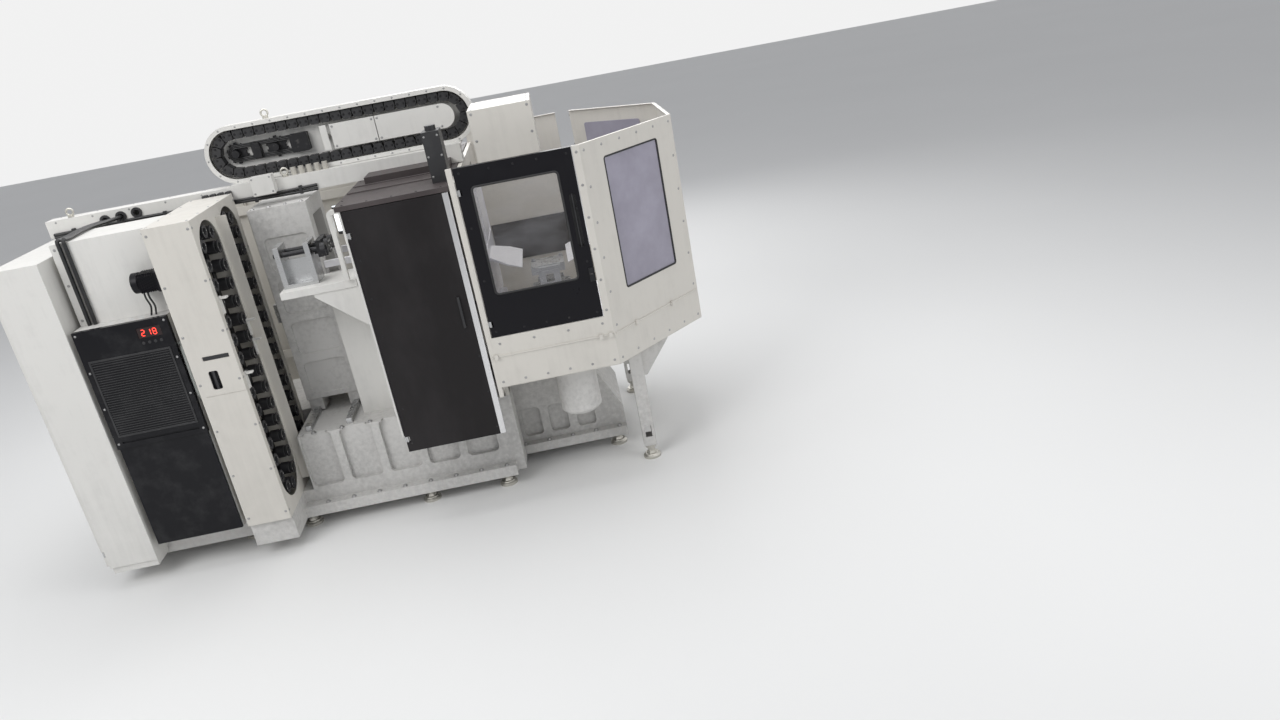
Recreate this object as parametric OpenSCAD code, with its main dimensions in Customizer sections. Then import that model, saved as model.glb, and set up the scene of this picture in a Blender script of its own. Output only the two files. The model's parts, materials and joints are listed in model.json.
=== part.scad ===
// Horizontal machining centre with a twin rotary pallet changer, shown with its bay covers off.
// X runs along the machine to the loading end, Y across it to the far side, Z up from the floor.

/* [Whole machine] */
// Length of the loading enclosure along X
enclosure_l = 1291; // [1270:1:1320]
// Overall width along Y
machine_w = 1780; // [1760:10:1840]
// Height of the loading enclosure's top rim above the floor
rim_z = 2050; // [2030:5:2090]
// Height of the levelling feet
foot_h = 90; // [70:5:110]
// Width across a levelling foot's pad
foot_d = 110; // [90:5:130]
// Height of the cast bed above its feet
bed_h = 510; // [480:5:530]
// Width of the cast bed
bed_w = 1120; // [1060:10:1180]

/* [Loading enclosure] */
// Length of the flat near face before the corner panel
face_l = 719; // [690:1:740]
// Width of the flat end face
end_w = 716; // [660:2:760]
// Height of the enclosure's lower edge
skirt_z = 785; // [760:5:800]
// Sheet thickness of the enclosure's folded walls
sheet_t = 5; // [4:0.5:7]
// Depth of the folded rim along the top
rim_d = 22; // [16:1:28]
// Width of the loading door's opening
door_w = 637; // [610:1:640]
// Height of the door's sill
sill_z = 1088; // [1075:1:1100]
// Thickness of the loading door
door_t = 38; // [30:1:45]
// Width of the door's window
pane_w = 500; // [440:1:520]
// Height of the door's window
pane_h = 640; // [600:1:680]
// Thickness of the window panes
pane_t = 8; // [6:1:10]
// Width of a corner panel's tall window
corner_pane_w = 480; // [420:2:500]
// Height of a corner panel's tall window
corner_pane_h = 780; // [700:5:800]

/* [Machining chamber] */
// Length of the chamber's side door
side_door_l = 556; // [540:1:560]
// Height of the side door
side_door_h = 1430; // [1380:5:1440]
// Thickness of the side door
side_door_t = 46; // [36:1:50]
// Width of the bright edge profile on the side door
profile_w = 34; // [28:1:38]
// Height of the chamber's roof
roof_z = 1960; // [1940:5:1975]

/* [Pallets] */
// Side of a square pallet
pallet_s = 250; // [230:2:260]
// Thickness of a pallet's plate
pallet_t = 46; // [40:1:50]
// Height of a pallet's top face
pallet_z = 1080; // [1070:1:1086]
// Distance of a pallet's middle from the changer's pivot
pallet_r = 355; // [350:1:365]
// Diameter of a pallet's clamping boss
boss_d = 150; // [130:2:156]
// Tapped holes along each side of a pallet
hole_n = 5; // [3:1:5]
// Diameter of a pallet's tapped holes
hole_d = 10.5; // [8:0.5:12]
// Diameter of the changer's pivot column
pivot_d = 190; // [170:2:200]
// Height of the fixture on the loading pallet
fixture_h = 164; // [150:2:180]
// Width of the fixture's top plate
fixture_w = 214; // [200:2:220]

/* [Column and spindle] */
// Width of the portal column
column_w = 400; // [380:2:410]
// Depth of the portal column along X
column_d = 350; // [330:2:356]
// Top of the portal column
column_z = 1930; // [1900:5:1940]
// Height of the spindle's axis at rest
spindle_z = 1250; // [1240:1:1260]
// Width and height of the square ram
ram_s = 170; // [160:2:176]
// Diameter of the spindle's nose
nose_d = 128; // [116:2:136]

/* [Tool magazine] */
// Length of the open bay between the magazine and the chamber
bay_l = 751; // [730:1:790]
// Width of the magazine housing along X
mag_w = 253; // [240:1:260]
// Length of the magazine housing along Y
mag_l = 790; // [776:2:800]
// Top of the magazine housing
mag_z = 2040; // [2020:5:2045]
// Radius of a tool chain's bends
chain_r = 120; // [116:1:122]
// Teeth on each of a tool chain's sprockets
teeth = 7; // [7:1:8]
// Tool pots on each chain
pot_n = 32; // [28:1:33]
// Outer diameter of a tool pot
pot_d = 74; // [66:1:76]
// Bore of a tool pot
pot_bore = 44; // [36:1:48]
// Thickness of a chain's link plates
link_t = 6; // [4:0.5:7]
// Width of a chain's link plates
link_w = 46; // [38:1:50]

/* [Upper chain loop] */
// Length of the upper loop's plate
loop_l = 1628; // [1580:2:1640]
// Height of the upper loop's plate
loop_h = 344; // [330:2:352]
// Width of the white border round the chain
loop_border = 26; // [20:1:30]
// Links in the upper chain
loop_n = 50; // [44:1:52]
// Height of a link of the upper chain
loop_link_h = 52; // [44:1:56]

/* [Services] */
// Gap between the cabinet and the chiller
cabinet_gap = 27; // [20:1:40]
// Gap between the chiller and the magazine
chiller_gap = 30; // [24:1:40]
// Length of the electrical cabinet along X
cabinet_l = 300; // [270:2:310]
// Width of the chiller's front
chiller_w = 506; // [480:2:516]
// Height of the chiller's front
chiller_h = 700; // [660:5:720]
// Height of the cable duct along the top
duct_h = 104; // [90:2:112]
// Depth of the cable duct along Y
duct_d = 110; // [90:2:120]

/* [Hidden] */
$fn = 64;
eps = 0.5;
gap = 0.3;
door_gap = 4;
leaf_gap = 8;
chamber_l = side_door_l + profile_w + leaf_gap + door_gap;
services_l = cabinet_l + cabinet_gap + chiller_w + chiller_gap;
x_end = (services_l + mag_w + bay_l + chamber_l + enclosure_l) / 2;
cab_x = -x_end;
y_far = machine_w / 2;
y_near = -y_far;
bed_top = foot_h + bed_h;
// Loading enclosure, set out from the loading end
load_x = x_end - enclosure_l;
corner_x = load_x + face_l;
corner_l = norm([x_end - corner_x, y_far - end_w / 2]);
corner_a = atan2(y_far - end_w / 2, x_end - corner_x);
corner_in = [-sin(corner_a), cos(corner_a)];
door_x = load_x + 37;
door_z = rim_z - 2;
door_mid = door_x + door_w / 2 - 8;
// Chamber between the bay and the loading enclosure
strip_x = load_x - door_gap;
chamber_x = load_x - chamber_l;
partition_t = 24;
opening_w = 1060;
// Changer and table
pivot_x = load_x + 46;
table_x = pivot_x - pallet_r;
station_x = pivot_x + pallet_r;
fork_t = 26;
fork_z = pallet_z - pallet_t - fork_t;
boss_h = 52;
lift_clear = 1;
table_z = pallet_z - pallet_t - boss_h - lift_clear;
divider_w = 860;
divider_t = 30;
divider_top = roof_z - 130;
lift_up = 40;
tray_t = 6;
pan_z = 974;
pan_t = 4;
pan_half = 405;
wing_x = station_x + 132;
wing_l = 170;
wing_z = 1262;
wing_rise = 64;
cross = 150;
slot_y = ram_s / 2 + cross + 20;
slot_down = 225;
slot_up = 290;
door_pin = [door_x + 8, y_near + 8];
side_x = chamber_x + 18;
side_z = roof_z - 26 - side_door_h;
side_pin = [side_x + 10, y_near + 10];
leaf_y = y_near + 20;
leaf_w = 860;
leaf_t = 22;
leaf_z = foot_h + 70;
leaf_h = roof_z - leaf_z - 25;
leaf_pin = [cab_x + 8, leaf_y + 8];
// Column, head and ram
column_x = chamber_x - 320 - column_d;
portal_w = 240;
head_w = portal_w - 2 * 14 - 2 * gap;
head_h = 330;
rail_h = 34;
rail_w = 36;
cross_z = bed_top + rail_h;
nose_x = chamber_x - 108;
// Magazine
mag_x = chamber_x - bay_l - mag_w;
mag_side = mag_x + mag_w;
mag_wall = 6;
shelf_z = 1520;
rod_z = shelf_z + 190;
arm_y = y_near + 360;
rod_y = [arm_y - 50, arm_y + 50];
lamp_y = y_near + 250;
bay_y = y_near + 200;
shelf_l = 290;
arm_x = chamber_x - 198;
arch_r = chain_r + 44;
chain_in = 92;
pin_r = pot_bore / 4 + 2;
pot_p = 2 * PI * chain_r / teeth;
chain_run = (pot_n - teeth) * pot_p / 2;
chain_mid = mag_z - 50 - arch_r - chain_run / 2;
chain_y = [y_near + 205, y_near + 580];
// Upper loop
duct_z = roof_z + 5;
duct_top = duct_z + duct_h;
duct_y = y_near + 830;
loop_x = load_x + 152 - loop_l / 2;
loop_z = duct_top + 2 + loop_h / 2;
loop_y = duct_y + 165;
loop_run = loop_l - loop_h;
// Services
grommet_x = mag_x - 520;
grommet_p = 95;
service_y = y_near + 470;
chiller_y = y_near + 590;
chiller_x = mag_x - chiller_gap - chiller_w;
chiller_z = 870;

// Block between two opposite corners
module block(a, b) {
    translate(a)
        cube(b - a);
}

// Plate outline with round corners, centred on the origin
module round_rect(w, h, r) {
    square([w - 2 * r, h], center = true);
    square([w, h - 2 * r], center = true);
    for (sx = [-1, 1], sy = [-1, 1])
        translate([sx * (w / 2 - r), sy * (h / 2 - r)])
            circle(r);
}

// Stadium outline along local X, centred on the origin
module stadium(run, r) {
    square([run, 2 * r], center = true);
    for (s = [-1, 1])
        translate([s * run / 2, 0])
            circle(r);
}

// Puts a flat outline upright, facing the near side
module facing_near(at, t) {
    translate(at)
        rotate([90, 0, 0])
            linear_extrude(t)
                children();
}

// Puts a flat outline upright, facing the loading end
module facing_end(at, t) {
    translate(at)
        rotate([90, 0, 90])
            linear_extrude(t)
                children();
}

// Place and heading of a point at distance s round a stadium
function track(s, run, r) =
    let (bend = PI * r)
    s < run ? [s - run / 2, r, 0]
    : s < run + bend ? let (a = (s - run) / r * 180 / PI) [run / 2 + r * sin(a), r * cos(a), -a]
    : s < 2 * run + bend ? [run / 2 - (s - run - bend), -r, 180]
    : let (a = (s - 2 * run - bend) / r * 180 / PI) [-run / 2 - r * sin(a), -r * cos(a), 180 - a];

function track_at(i, n, run, r) =
    let (all = 2 * run + 2 * PI * r, s = (i + 0.25) * all / n)
    track(s < all ? s : s - all, run, r);

// Outline of the loading enclosure, drawn in from its outer face by t
function shell(t) =
    let (cx = corner_x + t * (1 - corner_in[1]) / corner_in[0],
         cy = y_far - (t - (x_end - t - corner_x) * corner_in[0]) / corner_in[1])
    [[cx, y_near + t], [x_end - t, -cy], [x_end - t, cy], [cx, y_far - t]];

// Turns children so that local X runs along a corner panel and local Y points into the enclosure
module on_corner(side) {
    mirror([0, side > 0 ? 1 : 0, 0])
        translate([corner_x, y_near, 0])
            rotate([0, 0, corner_a])
                children();
}

// Cast bed with ribbed flanks, a chip trough and a shelf for the services at its back
module bed() {
    back_x = cab_x + 30;
    front_x = load_x - 30;
    pocket_n = 6;
    pocket_p = (front_x - mag_x - 120) / pocket_n;
    color([0.86, 0.86, 0.82])
        difference() {
            union() {
                block([mag_x, -bed_w / 2, foot_h], [front_x, bed_w / 2, bed_top]);
                block([mag_x, -bed_w / 2 - 70, foot_h], [front_x, bed_w / 2 + 70, foot_h + 70]);
                block([back_x, -bed_w / 2 - 150, foot_h], [mag_x, bed_w / 2 + 150, foot_h + 150]);
                block([mag_x, y_near + 30, foot_h], [mag_side, -bed_w / 2, foot_h + 150]);
                for (s = [-1, 1])
                    block([front_x - 1, s * 470 - 90, foot_h], [load_x + partition_t, s * 470 + 90, bed_top]);
            }
            for (i = [0 : pocket_n - 1], s = [-1, 1])
                translate([mag_x + 60 + (i + 0.5) * pocket_p, s * bed_w / 2, foot_h + 120])
                    facing_near([0, 30, bed_h / 2 - 40], 60)
                        round_rect(pocket_p - 50, bed_h - 160, 30);
            block([chamber_x + 40, -260, foot_h + 200], [front_x + eps, 260, bed_top + eps]);
            block([mag_x - eps, -bed_w / 2 - 80, foot_h + 150],
                  [mag_side + 66, y_near + mag_l + 6, bed_top + eps]);
        }
}

// Levelling feet with their screws, under the bed, the changer's base and the posts
module levelling_feet() {
    spots = [
        for (x = [cab_x + 120, mag_x - 120, mag_side, chamber_x, load_x - 110], s = [-1, 1]) [x, s * (bed_w / 2 - 30)],
        for (s = [-1, 1]) [corner_x - 90, s * 260],
        for (s = [-1, 1]) [corner_x + 100, s * 560]
    ];
    color([0.45, 0.45, 0.46])
        for (p = spots)
            translate([p[0], p[1], 0])
                rotate_extrude()
                    polygon([[0, 0], [foot_d / 2, 0], [foot_d / 2, 14], [foot_d / 2 - 14, 26],
                             [22, 26], [22, foot_h - 20], [34, foot_h - 20], [34, foot_h], [0, foot_h]]);
}

// Two guide rails across the bed, for the column
module cross_rails() {
    color([0.72, 0.73, 0.75])
        for (x = [column_x + 50, column_x + column_d - 50])
            facing_near([x, bed_w / 2 - 60, bed_top], bed_w - 120)
                polygon([[-rail_w / 2, 0], [rail_w / 2, 0], [rail_w / 2, 12], [rail_w / 2 - 6, 18],
                         [rail_w / 2, 24], [rail_w / 2, rail_h], [-rail_w / 2, rail_h],
                         [-rail_w / 2, 24], [-rail_w / 2 + 6, 18], [-rail_w / 2, 12]]);
}

// Tapered casting that carries the pallet changer
module changer_base() {
    x0 = load_x - 30;
    x1 = corner_x - 20;
    color([0.84, 0.84, 0.8])
        difference() {
            union() {
                facing_near([0, 300, 0], 600)
                    polygon([[x0, foot_h], [x1, foot_h], [x1, foot_h + 180], [x1 - 190, bed_top + 60],
                             [x0, bed_top + 60]]);
                block([x0, -360, foot_h], [x1, 360, foot_h + 60]);
                translate([pivot_x, 0, bed_top + 60])
                    cylinder(d = pivot_d + 110, h = 24);
            }
            for (i = [0 : 2], s = [-1, 1])
                facing_near([x0 + 130 + i * 175, s * 300 + 30, foot_h + 190], 60)
                    round_rect(120, 190, 24);
            translate([pivot_x, 0, bed_top - 200])
                cylinder(d = pivot_d - 30, h = 400);
        }
}

// Posts with gussets that carry the overhanging end of the enclosure, and the drain pot under its floor
module support_posts() {
    x = corner_x + 100;
    post_top = skirt_z;
    pot_h = 350;
    color([0.8, 0.81, 0.82])
        for (s = [-1, 1]) {
            difference() {
                block([x - 40, s * 560 - 40, foot_h], [x + 40, s * 560 + 40, post_top]);
                block([x - 32, s * 560 - 32, foot_h + 8], [x + 32, s * 560 + 32, post_top - 8]);
                block([x - 20, s * 560 - 60, foot_h + 60], [x + 20, s * 560 + 60, foot_h + 140]);
            }
            facing_near([x + 40, s * 560 + 5, post_top], 10)
                polygon([[0, 0], [180, 0], [180, -20], [20, -230], [0, -230]]);
        }
    color([0.8, 0.81, 0.82])
        translate([load_x + 446, y_near + 310, skirt_z])
            rotate_extrude()
                polygon([[0, -pot_h], [105, -pot_h], [125, -pot_h + 20], [125, -14], [142, -14], [142, 0],
                         [118, 0], [118, -pot_h + 23], [102, -pot_h + 7], [0, -pot_h + 7]]);
}

// Wall between the bay and the chamber, with the slot that the spindle works through
module chamber_wall() {
    color([0.85, 0.84, 0.82])
        difference() {
            block([chamber_x, y_near + 8, bed_top], [chamber_x + 12, y_far - 48, roof_z]);
            block([chamber_x - eps, -slot_y, spindle_z - slot_down],
                  [chamber_x + 20, slot_y, spindle_z + slot_up]);
        }
    color([0.62, 0.61, 0.55])
        block([chamber_x - 300, 184 - bed_w / 2, bed_top],
              [chamber_x - 60, 190 - bed_w / 2, spindle_z + 200]);
}

// Frame between the chamber and the loading enclosure, with the opening that the divider closes
module partition() {
    x1 = load_x + partition_t;
    color([0.88, 0.87, 0.84])
        difference() {
            block([load_x, y_near, bed_top], [x1, y_far, roof_z]);
            block([load_x - eps, -opening_w / 2, bed_top - eps], [x1 + eps, opening_w / 2, roof_z - 80]);
            for (s = [-1, 1])
                block([load_x - eps, s * (y_far + bed_w / 2) / 2 - (y_far - bed_w / 2) / 2, bed_top - eps],
                      [x1 + eps, s * (y_far + bed_w / 2) / 2 + (y_far - bed_w / 2) / 2 + eps, skirt_z - 60]);
        }
}

// Dark roof over the chamber, stepped down towards the near side, with the raised rib at its back
module roof_cover() {
    color([0.3, 0.27, 0.26])
        difference() {
            union() {
                block([chamber_x - 14, y_near + 2, roof_z], [load_x - 4, y_far - 2, roof_z + 5]);
                block([chamber_x - 14, y_near + 2, roof_z - 22], [load_x - 4, y_near + 6, roof_z]);
                block([chamber_x + 60, -260, roof_z], [load_x - 40, -60, roof_z + 44]);
                block([chamber_x - 14, y_near + 2, roof_z - 22], [chamber_x - 10, y_far - 48, roof_z]);
            }
            block([chamber_x + 65, -255, roof_z - eps], [load_x - 45, -65, roof_z + 39]);
        }
}

// Far side of the chamber, bay and services: flat panels with folded edges and a long handle
module far_cover() {
    z0 = bed_top - 120;
    panels = [[cab_x + cabinet_l, mag_x], [mag_x + 6, mag_side], [mag_side + 6, chamber_x - 6],
              [chamber_x, load_x - 4]];
    color([0.88, 0.87, 0.84]) {
        for (p = panels)
            difference() {
                block([p[0], y_far - 40, z0], [p[1], y_far, roof_z]);
                block([p[0] + 4, y_far - 40 - eps, z0 + 4], [p[1] - 4, y_far - 4, roof_z - 4]);
            }
        for (z = [z0 + 200, roof_z - 200])
            block([cab_x + cabinet_l, y_far - 46, z], [load_x - 4, y_far - 34, z + 60]);
    }
}

// Folded half-octagon of sheet round the loading station, open at the top
module loading_enclosure() {
    outer = shell(0);
    inner = shell(sheet_t);
    rim_in = shell(rim_d);
    far_end = corner_x + 20;
    color([0.87, 0.86, 0.83])
        difference() {
            union() {
                difference() {
                    translate([0, 0, skirt_z])
                        linear_extrude(rim_z - skirt_z)
                            shell_outline(outer);
                    translate([0, 0, skirt_z - eps])
                        linear_extrude(rim_z - skirt_z + 1)
                            shell_outline(inner);
                }
                translate([0, 0, rim_z - 4])
                    linear_extrude(4)
                        difference() {
                            shell_outline(outer);
                            shell_outline(rim_in);
                        }
                translate([0, 0, skirt_z])
                    linear_extrude(tray_t)
                        difference() {
                            shell_outline(outer);
                            translate([pivot_x, 0])
                                circle(d = pivot_d + 60);
                            translate([load_x - eps, -opening_w / 2])
                                square([partition_t + 2 * eps, opening_w]);
                        }
            }
            block([load_x - eps, y_near - eps, skirt_z - eps], [load_x + partition_t, y_far + eps, roof_z]);
            block([door_x - 5, y_near - 30, sill_z - 3], [door_x + door_w + 4, y_near + 40, rim_z + eps]);
            block([load_x + 640, y_far - 40, sill_z], [far_end, y_far + 30, rim_z + eps]);
            for (s = [-1, 1])
                on_corner(s)
                    translate([corner_l / 2 + 6, 10, rim_z - 92 - corner_pane_h / 2])
                        rotate([90, 0, 0])
                            linear_extrude(20)
                                round_rect(corner_pane_w - 24, corner_pane_h - 24, 14);
            translate([x_end - 10, 0, rim_z - 92 - corner_pane_h / 2])
                facing_end([0, 0, 0], 20)
                    round_rect(end_w - 220, corner_pane_h - 24, 14);
        }
}

// Flat plan of the enclosure from its four outer corners
module shell_outline(p) {
    t = p[0][1] - y_near;
    polygon([[load_x - (t > 0 ? eps : 0), p[0][1]], p[0], p[1], p[2], p[3], [load_x - (t > 0 ? eps : 0), p[3][1]]]);
}

// Panes in the corner panels and the end face, set against the inside of the sheet
module corner_windows() {
    z = rim_z - 92 - corner_pane_h / 2;
    color([0.62, 0.6, 0.72]) {
        for (s = [-1, 1])
            on_corner(s)
                translate([corner_l / 2 + 6, sheet_t + gap + pane_t, z])
                    rotate([90, 0, 0])
                        linear_extrude(pane_t)
                            round_rect(corner_pane_w, corner_pane_h, 16);
        facing_end([x_end - sheet_t - gap - pane_t, 0, z], pane_t)
            round_rect(end_w - 196, corner_pane_h, 16);
    }
}

// Sloping tray below the loading door, the flat pan under the pallets and the wing
module loading_tray() {
    y0 = y_near + sheet_t + 60;
    x0 = load_x + partition_t + 60;
    x1 = corner_x - 30;
    hi = sill_z - 8;
    floor_z = skirt_z + tray_t;
    low = pan_z - pan_t;
    leg_y = pan_half - 52;
    legs = [[x0 + 160, -leg_y], [x1 - 60, -leg_y], [x0 + 160, leg_y], [x1 - 190, leg_y]];
    color([0.93, 0.93, 0.94])
        difference() {
            union() {
                facing_end([x0, 0, 0], x1 - x0)
                    polygon([[y_near + sheet_t, hi], [y0, hi], [1 - pan_half, pan_z], [1 - pan_half, low],
                             [-pan_half - 6, low], [y0 - 2, hi - pan_t], [y_near + sheet_t, hi - pan_t]]);
                translate([0, 0, low])
                    linear_extrude(pan_t)
                        polygon([[x0, -pan_half], [x1, -pan_half], [x1 + 40, -pan_half + 60], [x1 + 40, 230],
                                 [x1 - 150, pan_half], [x0 + 140, pan_half], [x0, 200]]);
                for (p = legs)
                    block([p[0], p[1] - 8, floor_z], [p[0] + 16, p[1] + 8, low + 1]);
                for (s = [-1, 1])
                    block([wing_x + 48, s * 100 - 15, low], [wing_x + 52, s * 100 + 15, wing_z + 20]);
                wing();
            }
            translate([pivot_x, 0, low - eps])
                cylinder(r = pivot_d / 2 + 140, h = pan_t + 2 * eps);
            translate([station_x, 0, low - eps])
                cylinder(d = boss_d, h = pan_t + 2 * eps);
        }
}

// Rising plate beside the loading pallet, narrower at its outer edge
module wing() {
    inner = 235;
    outer = 110;
    color([0.93, 0.93, 0.94])
        intersection() {
            facing_near([wing_x, inner, wing_z], 2 * inner)
                polygon([[0, 0], [wing_l, wing_rise], [wing_l, wing_rise + pan_t], [0, pan_t]]);
            translate([wing_x, 0, wing_z - eps])
                linear_extrude(wing_rise + pan_t + 2 * eps)
                    polygon([[0, -inner], [60, -inner], [wing_l, -outer], [wing_l, outer], [60, inner], [0, inner]]);
        }
}

// Raised bead along the skirt with its clamp fittings
module sill_rail() {
    z = skirt_z + 182;
    for (side = [-1, 1])
        mirror([0, side > 0 ? 1 : 0, 0]) {
            color([0.9, 0.89, 0.87])
                block([load_x + 8, y_near - 5, z], [corner_x - 4, y_near, z + 9]);
            color([0.8, 0.8, 0.8])
                for (x = [load_x + 36, load_x + 640, corner_x - 22])
                    facing_near([x, y_near - 5, z + 4], 12)
                        round_rect(22, 28, 6);
        }
    for (side = [-1, 1])
        on_corner(side) {
            color([0.9, 0.89, 0.87])
                block([12, -5, z], [corner_l - 8, 0, z + 9]);
            color([0.8, 0.8, 0.8])
                for (x = [190, 520])
                    facing_near([x, -5, z + 4], 12)
                        round_rect(22, 28, 6);
        }
}

// Sheet housing that stands above the loading door's header
module top_housing() {
    x0 = load_x + 160;
    x1 = load_x + 508;
    y0 = y_near + 250;
    y1 = -170;
    top = rim_z + 250;
    color([0.84, 0.83, 0.81])
        difference() {
            union() {
                block([x0, y0, roof_z - 4], [x1, y1, top]);
                block([load_x + partition_t, y0 + 40, roof_z - 30], [x1 + 30, y1 - 40, roof_z - 4]);
            }
            block([x0 + 4, y0 + 4, roof_z - 10], [x1 - 4, y1 - 4, top - 4]);
            block([x1 - 10, y0 + 60, roof_z + 60], [x1 + eps, y1 - 60, top - 60]);
        }
}

// Dark cable riser on the roof beside the housing
module cable_riser() {
    x0 = load_x - 100;
    color([0.1, 0.1, 0.11]) {
        difference() {
            block([x0, y_near + 180, roof_z + 5], [x0 + 96, y_near + 330, rim_z + 190]);
            for (i = [0 : 4])
                block([x0 - eps, y_near + 200, roof_z + 60 + i * 40],
                      [x0 + 6, y_near + 310, roof_z + 80 + i * 40]);
        }
        translate([x0 + 48, y_near + 255, rim_z + 190])
            cylinder(d = 60, h = 26);
    }
}

// Magazine housing: sheet box with two tall arches open towards the spindle
module magazine_housing() {
    z0 = foot_h + 150;
    slot_z = 1290;
    color([0.88, 0.87, 0.84])
        difference() {
            block([mag_x, y_near, z0], [mag_side, y_near + mag_l, mag_z]);
            block([mag_x + mag_wall, y_near + mag_wall, z0 + mag_wall],
                  [mag_side - mag_wall, y_near + mag_l - mag_wall, mag_z - mag_wall]);
            for (y = chain_y)
                translate([mag_side - mag_wall - eps, y, chain_mid])
                    rotate([0, 90, 0])
                        linear_extrude(mag_wall + 1)
                            stadium(chain_run + 20, arch_r);
            facing_near([mag_x + 150, y_near + 3, slot_z], 4)
                round_rect(150, 26, 5);
            facing_near([mag_x + 108, y_near + 26, slot_z - 130], 30)
                round_rect(52, 110, 12);
            block([mag_x + 30, y_near - eps, slot_z - 222], [mag_side + eps, y_near + 2, slot_z - 218]);
        }
    color([0.9, 0.9, 0.88])
        block([mag_x + mag_wall, y_near + 390, z0 + mag_wall + 60],
              [mag_side + 60, y_near + 396, mag_z - 60]);
}

// One closed chain of link plates on a stadium path
module tool_chain() {
    for (i = [0 : pot_n - 1]) {
        a = track(i * pot_p, chain_run, chain_r);
        b = track((i + 1) % pot_n * pot_p, chain_run, chain_r);
        d = [b[0] - a[0], b[1] - a[1]];
        translate([a[0], a[1], (i % 2) * (link_t + gap)])
            rotate([0, 0, atan2(d[1], d[0])])
                linear_extrude(link_t)
                    difference() {
                        translate([norm(d) / 2, 0])
                            stadium(norm(d), link_w / 2);
                        circle(pin_r + gap);
                        translate([norm(d), 0])
                            circle(pin_r + gap);
                    }
    }
}

// Tool pot: a stepped sleeve on a pin through the links
module pot_sleeve() {
    body_l = 90;
    rotate_extrude()
        polygon([[0, -15], [pin_r, -15], [pin_r, 2 * link_t + 1], [pot_d / 2 - 8, 2 * link_t + 1],
                 [pot_d / 2, 2 * link_t + 10], [pot_d / 2, body_l - 22], [pot_d / 2 - 6, body_l - 18],
                 [pot_d / 2 - 6, body_l - 12], [pot_d / 2, body_l - 8], [pot_d / 2, body_l],
                 [pot_bore / 2, body_l], [pot_bore / 2 - 9, 34], [0, 34]]);
}

module tool_pots() {
    color([0.16, 0.16, 0.17])
        for (k = [0, 1], i = [0 : pot_n - 1]) {
            a = track(i * pot_p, chain_run, chain_r);
            on_chain(k)
                translate([a[0], a[1], 0])
                    pot_sleeve();
        }
}

module on_chain(k) {
    translate([mag_side - chain_in, chain_y[k], chain_mid])
        rotate([0, 90, 0])
            children();
}

module front_tool_chain() {
    color([0.12, 0.12, 0.13])
        on_chain(0)
            tool_chain();
}

// The same chain in the back arch
module back_tool_chain() {
    color([0.12, 0.12, 0.13])
        on_chain(1)
            tool_chain();
}

// Toothed wheel with lightening holes, whose seats clear the chain's pins by a working gap
module sprocket(r, n, seat_r, t, first) {
    linear_extrude(t)
        difference() {
            circle(r);
            for (i = [0 : n - 1])
                rotate([0, 0, first + i * 360 / n]) {
                    translate([r, 0])
                        circle(seat_r);
                    rotate([0, 0, 180 / n])
                        translate([r * 0.55, 0])
                            circle(r * 0.13);
                }
        }
}

// Sprockets at both ends of each chain, on shafts held by the walls behind them
module sprockets() {
    shaft_l = mag_w - mag_wall - chain_in - 12;
    step = 360 / teeth;
    bend_x = loop_x - loop_run / 2;
    color([0.4, 0.4, 0.42])
        for (k = [0, 1], end = [-1, 1])
            on_chain(k)
                translate([end * chain_run / 2, 0, -12]) {
                    sprocket(chain_r, teeth, pin_r + gap, 10, end > 0 ? 90 - step / 2 : -90 - step / 2);
                    translate([0, 0, -shaft_l])
                        cylinder(d = 40, h = shaft_l + 30);
                    cylinder(d = 64, h = 24);
                }
    color([0.14, 0.14, 0.15]) {
        for (x = [bend_x, bend_x + 240]) {
            facing_near([x, loop_y - gap, loop_z], 16)
                sprocket_outline(64, 10);
            facing_near([x, loop_y - gap, loop_z], 66)
                circle(d = 46);
        }
        facing_near([bend_x + 125, loop_y - gap, loop_z], 60)
            round_rect(50, 90, 10);
        facing_near([bend_x + 385, loop_y - gap, loop_z], 50)
            round_rect(110, 110, 10);
    }
}

// Notched disc
module sprocket_outline(r, n) {
    difference() {
        circle(r);
        for (i = [0 : n - 1])
            rotate([0, 0, i * 360 / n])
                translate([r, 0])
                    circle(r * 1.9 / n);
    }
}

// Chain drive motor on the back of the magazine
module magazine_motor() {
    z = 1760;
    color([0.1, 0.1, 0.11])
        translate([mag_x - 150, y_near + 62, z])
            rotate([0, 90, 0]) {
                cylinder(d = 112, h = 34);
                translate([0, 0, 34])
                    linear_extrude(100)
                        round_rect(96, 96, 16);
                translate([0, 0, 134])
                    linear_extrude(16)
                        round_rect(118, 118, 10);
            }
}

// White border plate of the upper chain loop with its track recess
module upper_loop_plate() {
    color([0.88, 0.87, 0.85]) {
        facing_near([loop_x, loop_y + 6, loop_z], 6)
            stadium(loop_run, loop_h / 2);
        facing_near([loop_x, loop_y, loop_z], 90)
            difference() {
                stadium(loop_run, loop_h / 2);
                stadium(loop_run, loop_h / 2 - 5);
            }
        facing_near([loop_x, loop_y - 84, loop_z], 6)
            difference() {
                stadium(loop_run, loop_h / 2);
                stadium(loop_run, loop_h / 2 - loop_border);
            }
        for (x = [loop_x - loop_run / 2, loop_x + loop_run / 2])
            block([x - 60, duct_y, duct_top], [x + 60, loop_y + 6, duct_top + 8]);
    }
}

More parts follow.
